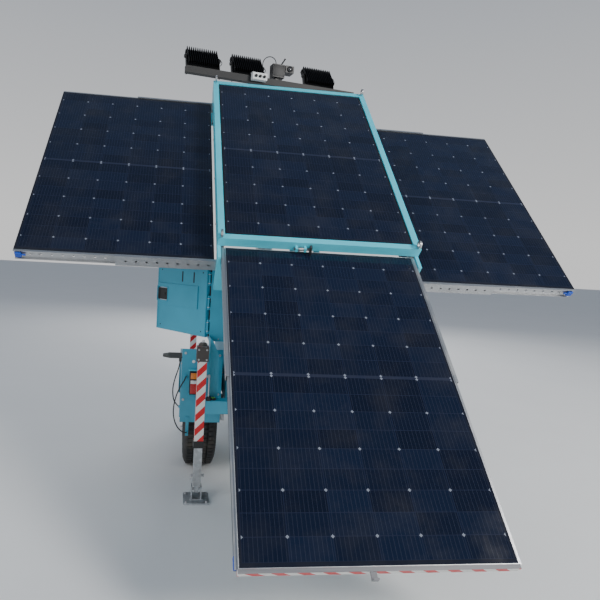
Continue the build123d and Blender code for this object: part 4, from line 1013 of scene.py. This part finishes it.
# %% Mast and coupler
mast_mid = pivot.y + 1.785
mast_bolts = Bench()
for body, level, half in (("root", 2.950, 0.070), ("mast_1", 3.000, 0.062), ("mast_2", 3.050, 0.054)):
    collar = Bench()
    for dx, dy in ((1, 0), (-1, 0), (0, 1), (0, -1)):
        spot = Vector((dx * half, mast_mid + dy * half, level - 0.030))
        collar.bolt(spot, (dx, dy, 0), 0.0075)
        across = Vector((dy, dx, 0)) * 0.026
        collar.bolt(spot + across, (dx, dy, 0), 0.0060)
        collar.bolt(spot - across, (dx, dy, 0), 0.0060)
    collar.done(f"collar_bolts_{body}", body, "steel", steel)
for dx in (-0.110, 0.110):
    for dy in (-0.070, 0.070):
        mast_bolts.bolt((dx, mast_mid + dy, 0.562), (0, 0, 1), 0.014)
mast_bolts.done("mast_foot_bolts", "root", "steel", steel)
for name, place in lamps.items():
    loop = Bench(place)
    loop.wire([(0.1660 + 0.022 * math.sin(math.pi * i / 16), 0.008, 0.055 - 0.110 * i / 16)
               for i in range(17)], 0.0032, 8)
    loop.done(f"{name}_loop", name, "black_metal", black_coat)
nose = pivot.y + 2.650
grip = Bench()
grip.block((-0.0160, nose - 0.186, 0.5530), (0.0160, nose - 0.1570, 0.5715), 0.004)
grip.done("coupler_grip", "coupler_latch", "latch_black", black_plastic)

# %% [markdown]
# ## Floor
# A wide pale floor carries the soft shadows.

# %% Floor
floor_mesh = bpy.data.meshes.new("floor")
FLOOR_HALF = 60
floor_mesh.from_pydata([(x * FLOOR_HALF, y * FLOOR_HALF, 0)
                        for x, y in ((-1, -1), (1, -1), (1, 1), (-1, 1))], [], [(0, 1, 2, 3)])
floor = bpy.data.objects.new("floor", floor_mesh)
scene.collection.objects.link(floor)
floor_finish = Finish("floor", Roughness=0.85)
floor_finish.show(Base_Color=floor_finish.mix(floor_finish.noise(0.8, 4), (0.80, 0.80, 0.79),
                                              (0.86, 0.86, 0.85)))
floor_mesh.materials.append(floor_finish.material)

# %% [markdown]
# ## Light
# Three large soft lamps aim at the trailer's middle. The modules mirror what is above them, so
# the key light stands low on the viewer's right and the sky is darker overhead.

# %% Light
MIDDLE = Vector((0, 0, 1.5))


def soft_light(name, spot, size, power, colour=(1, 1, 1)):
    data = bpy.data.lights.new(name, "AREA")
    data.size, data.energy, data.color = size, power, colour
    lamp = bpy.data.objects.new(name, data)
    lamp.location = spot
    lamp.rotation_mode = "QUATERNION"
    lamp.rotation_quaternion = (MIDDLE - Vector(spot)).to_track_quat("-Z", "Y")
    scene.collection.objects.link(lamp)


soft_light("key", (6.5, -7.5, 6.0), 3.0, 950, (1.0, 0.98, 0.95))
soft_light("fill", (-7.0, -6.0, 4.0), 5.0, 260, (0.92, 0.96, 1.0))
soft_light("behind", (2.0, 8.0, 6.0), 5.0, 350)


class Sky(Finish):
    """The world's light, which uses the same helpers as a material."""

    def __init__(self, name):
        world = bpy.data.worlds.new(name)
        world.use_nodes = True
        self.tree, self.shader = world.node_tree, world.node_tree.nodes["Background"]
        scene.world = world


sky = Sky("sky")
height = sky.node("ShaderNodeSeparateXYZ", {}, {0: sky.node("ShaderNodeTexCoord", out=0)}, out=2)
sky.show(Color=sky.mix(sky.ramp(height, (0.05, 0), (0.75, 1)), (1.0, 1.0, 1.0), (0.20, 0.26, 0.36)))
sky.shader.inputs["Strength"].default_value = 0.80
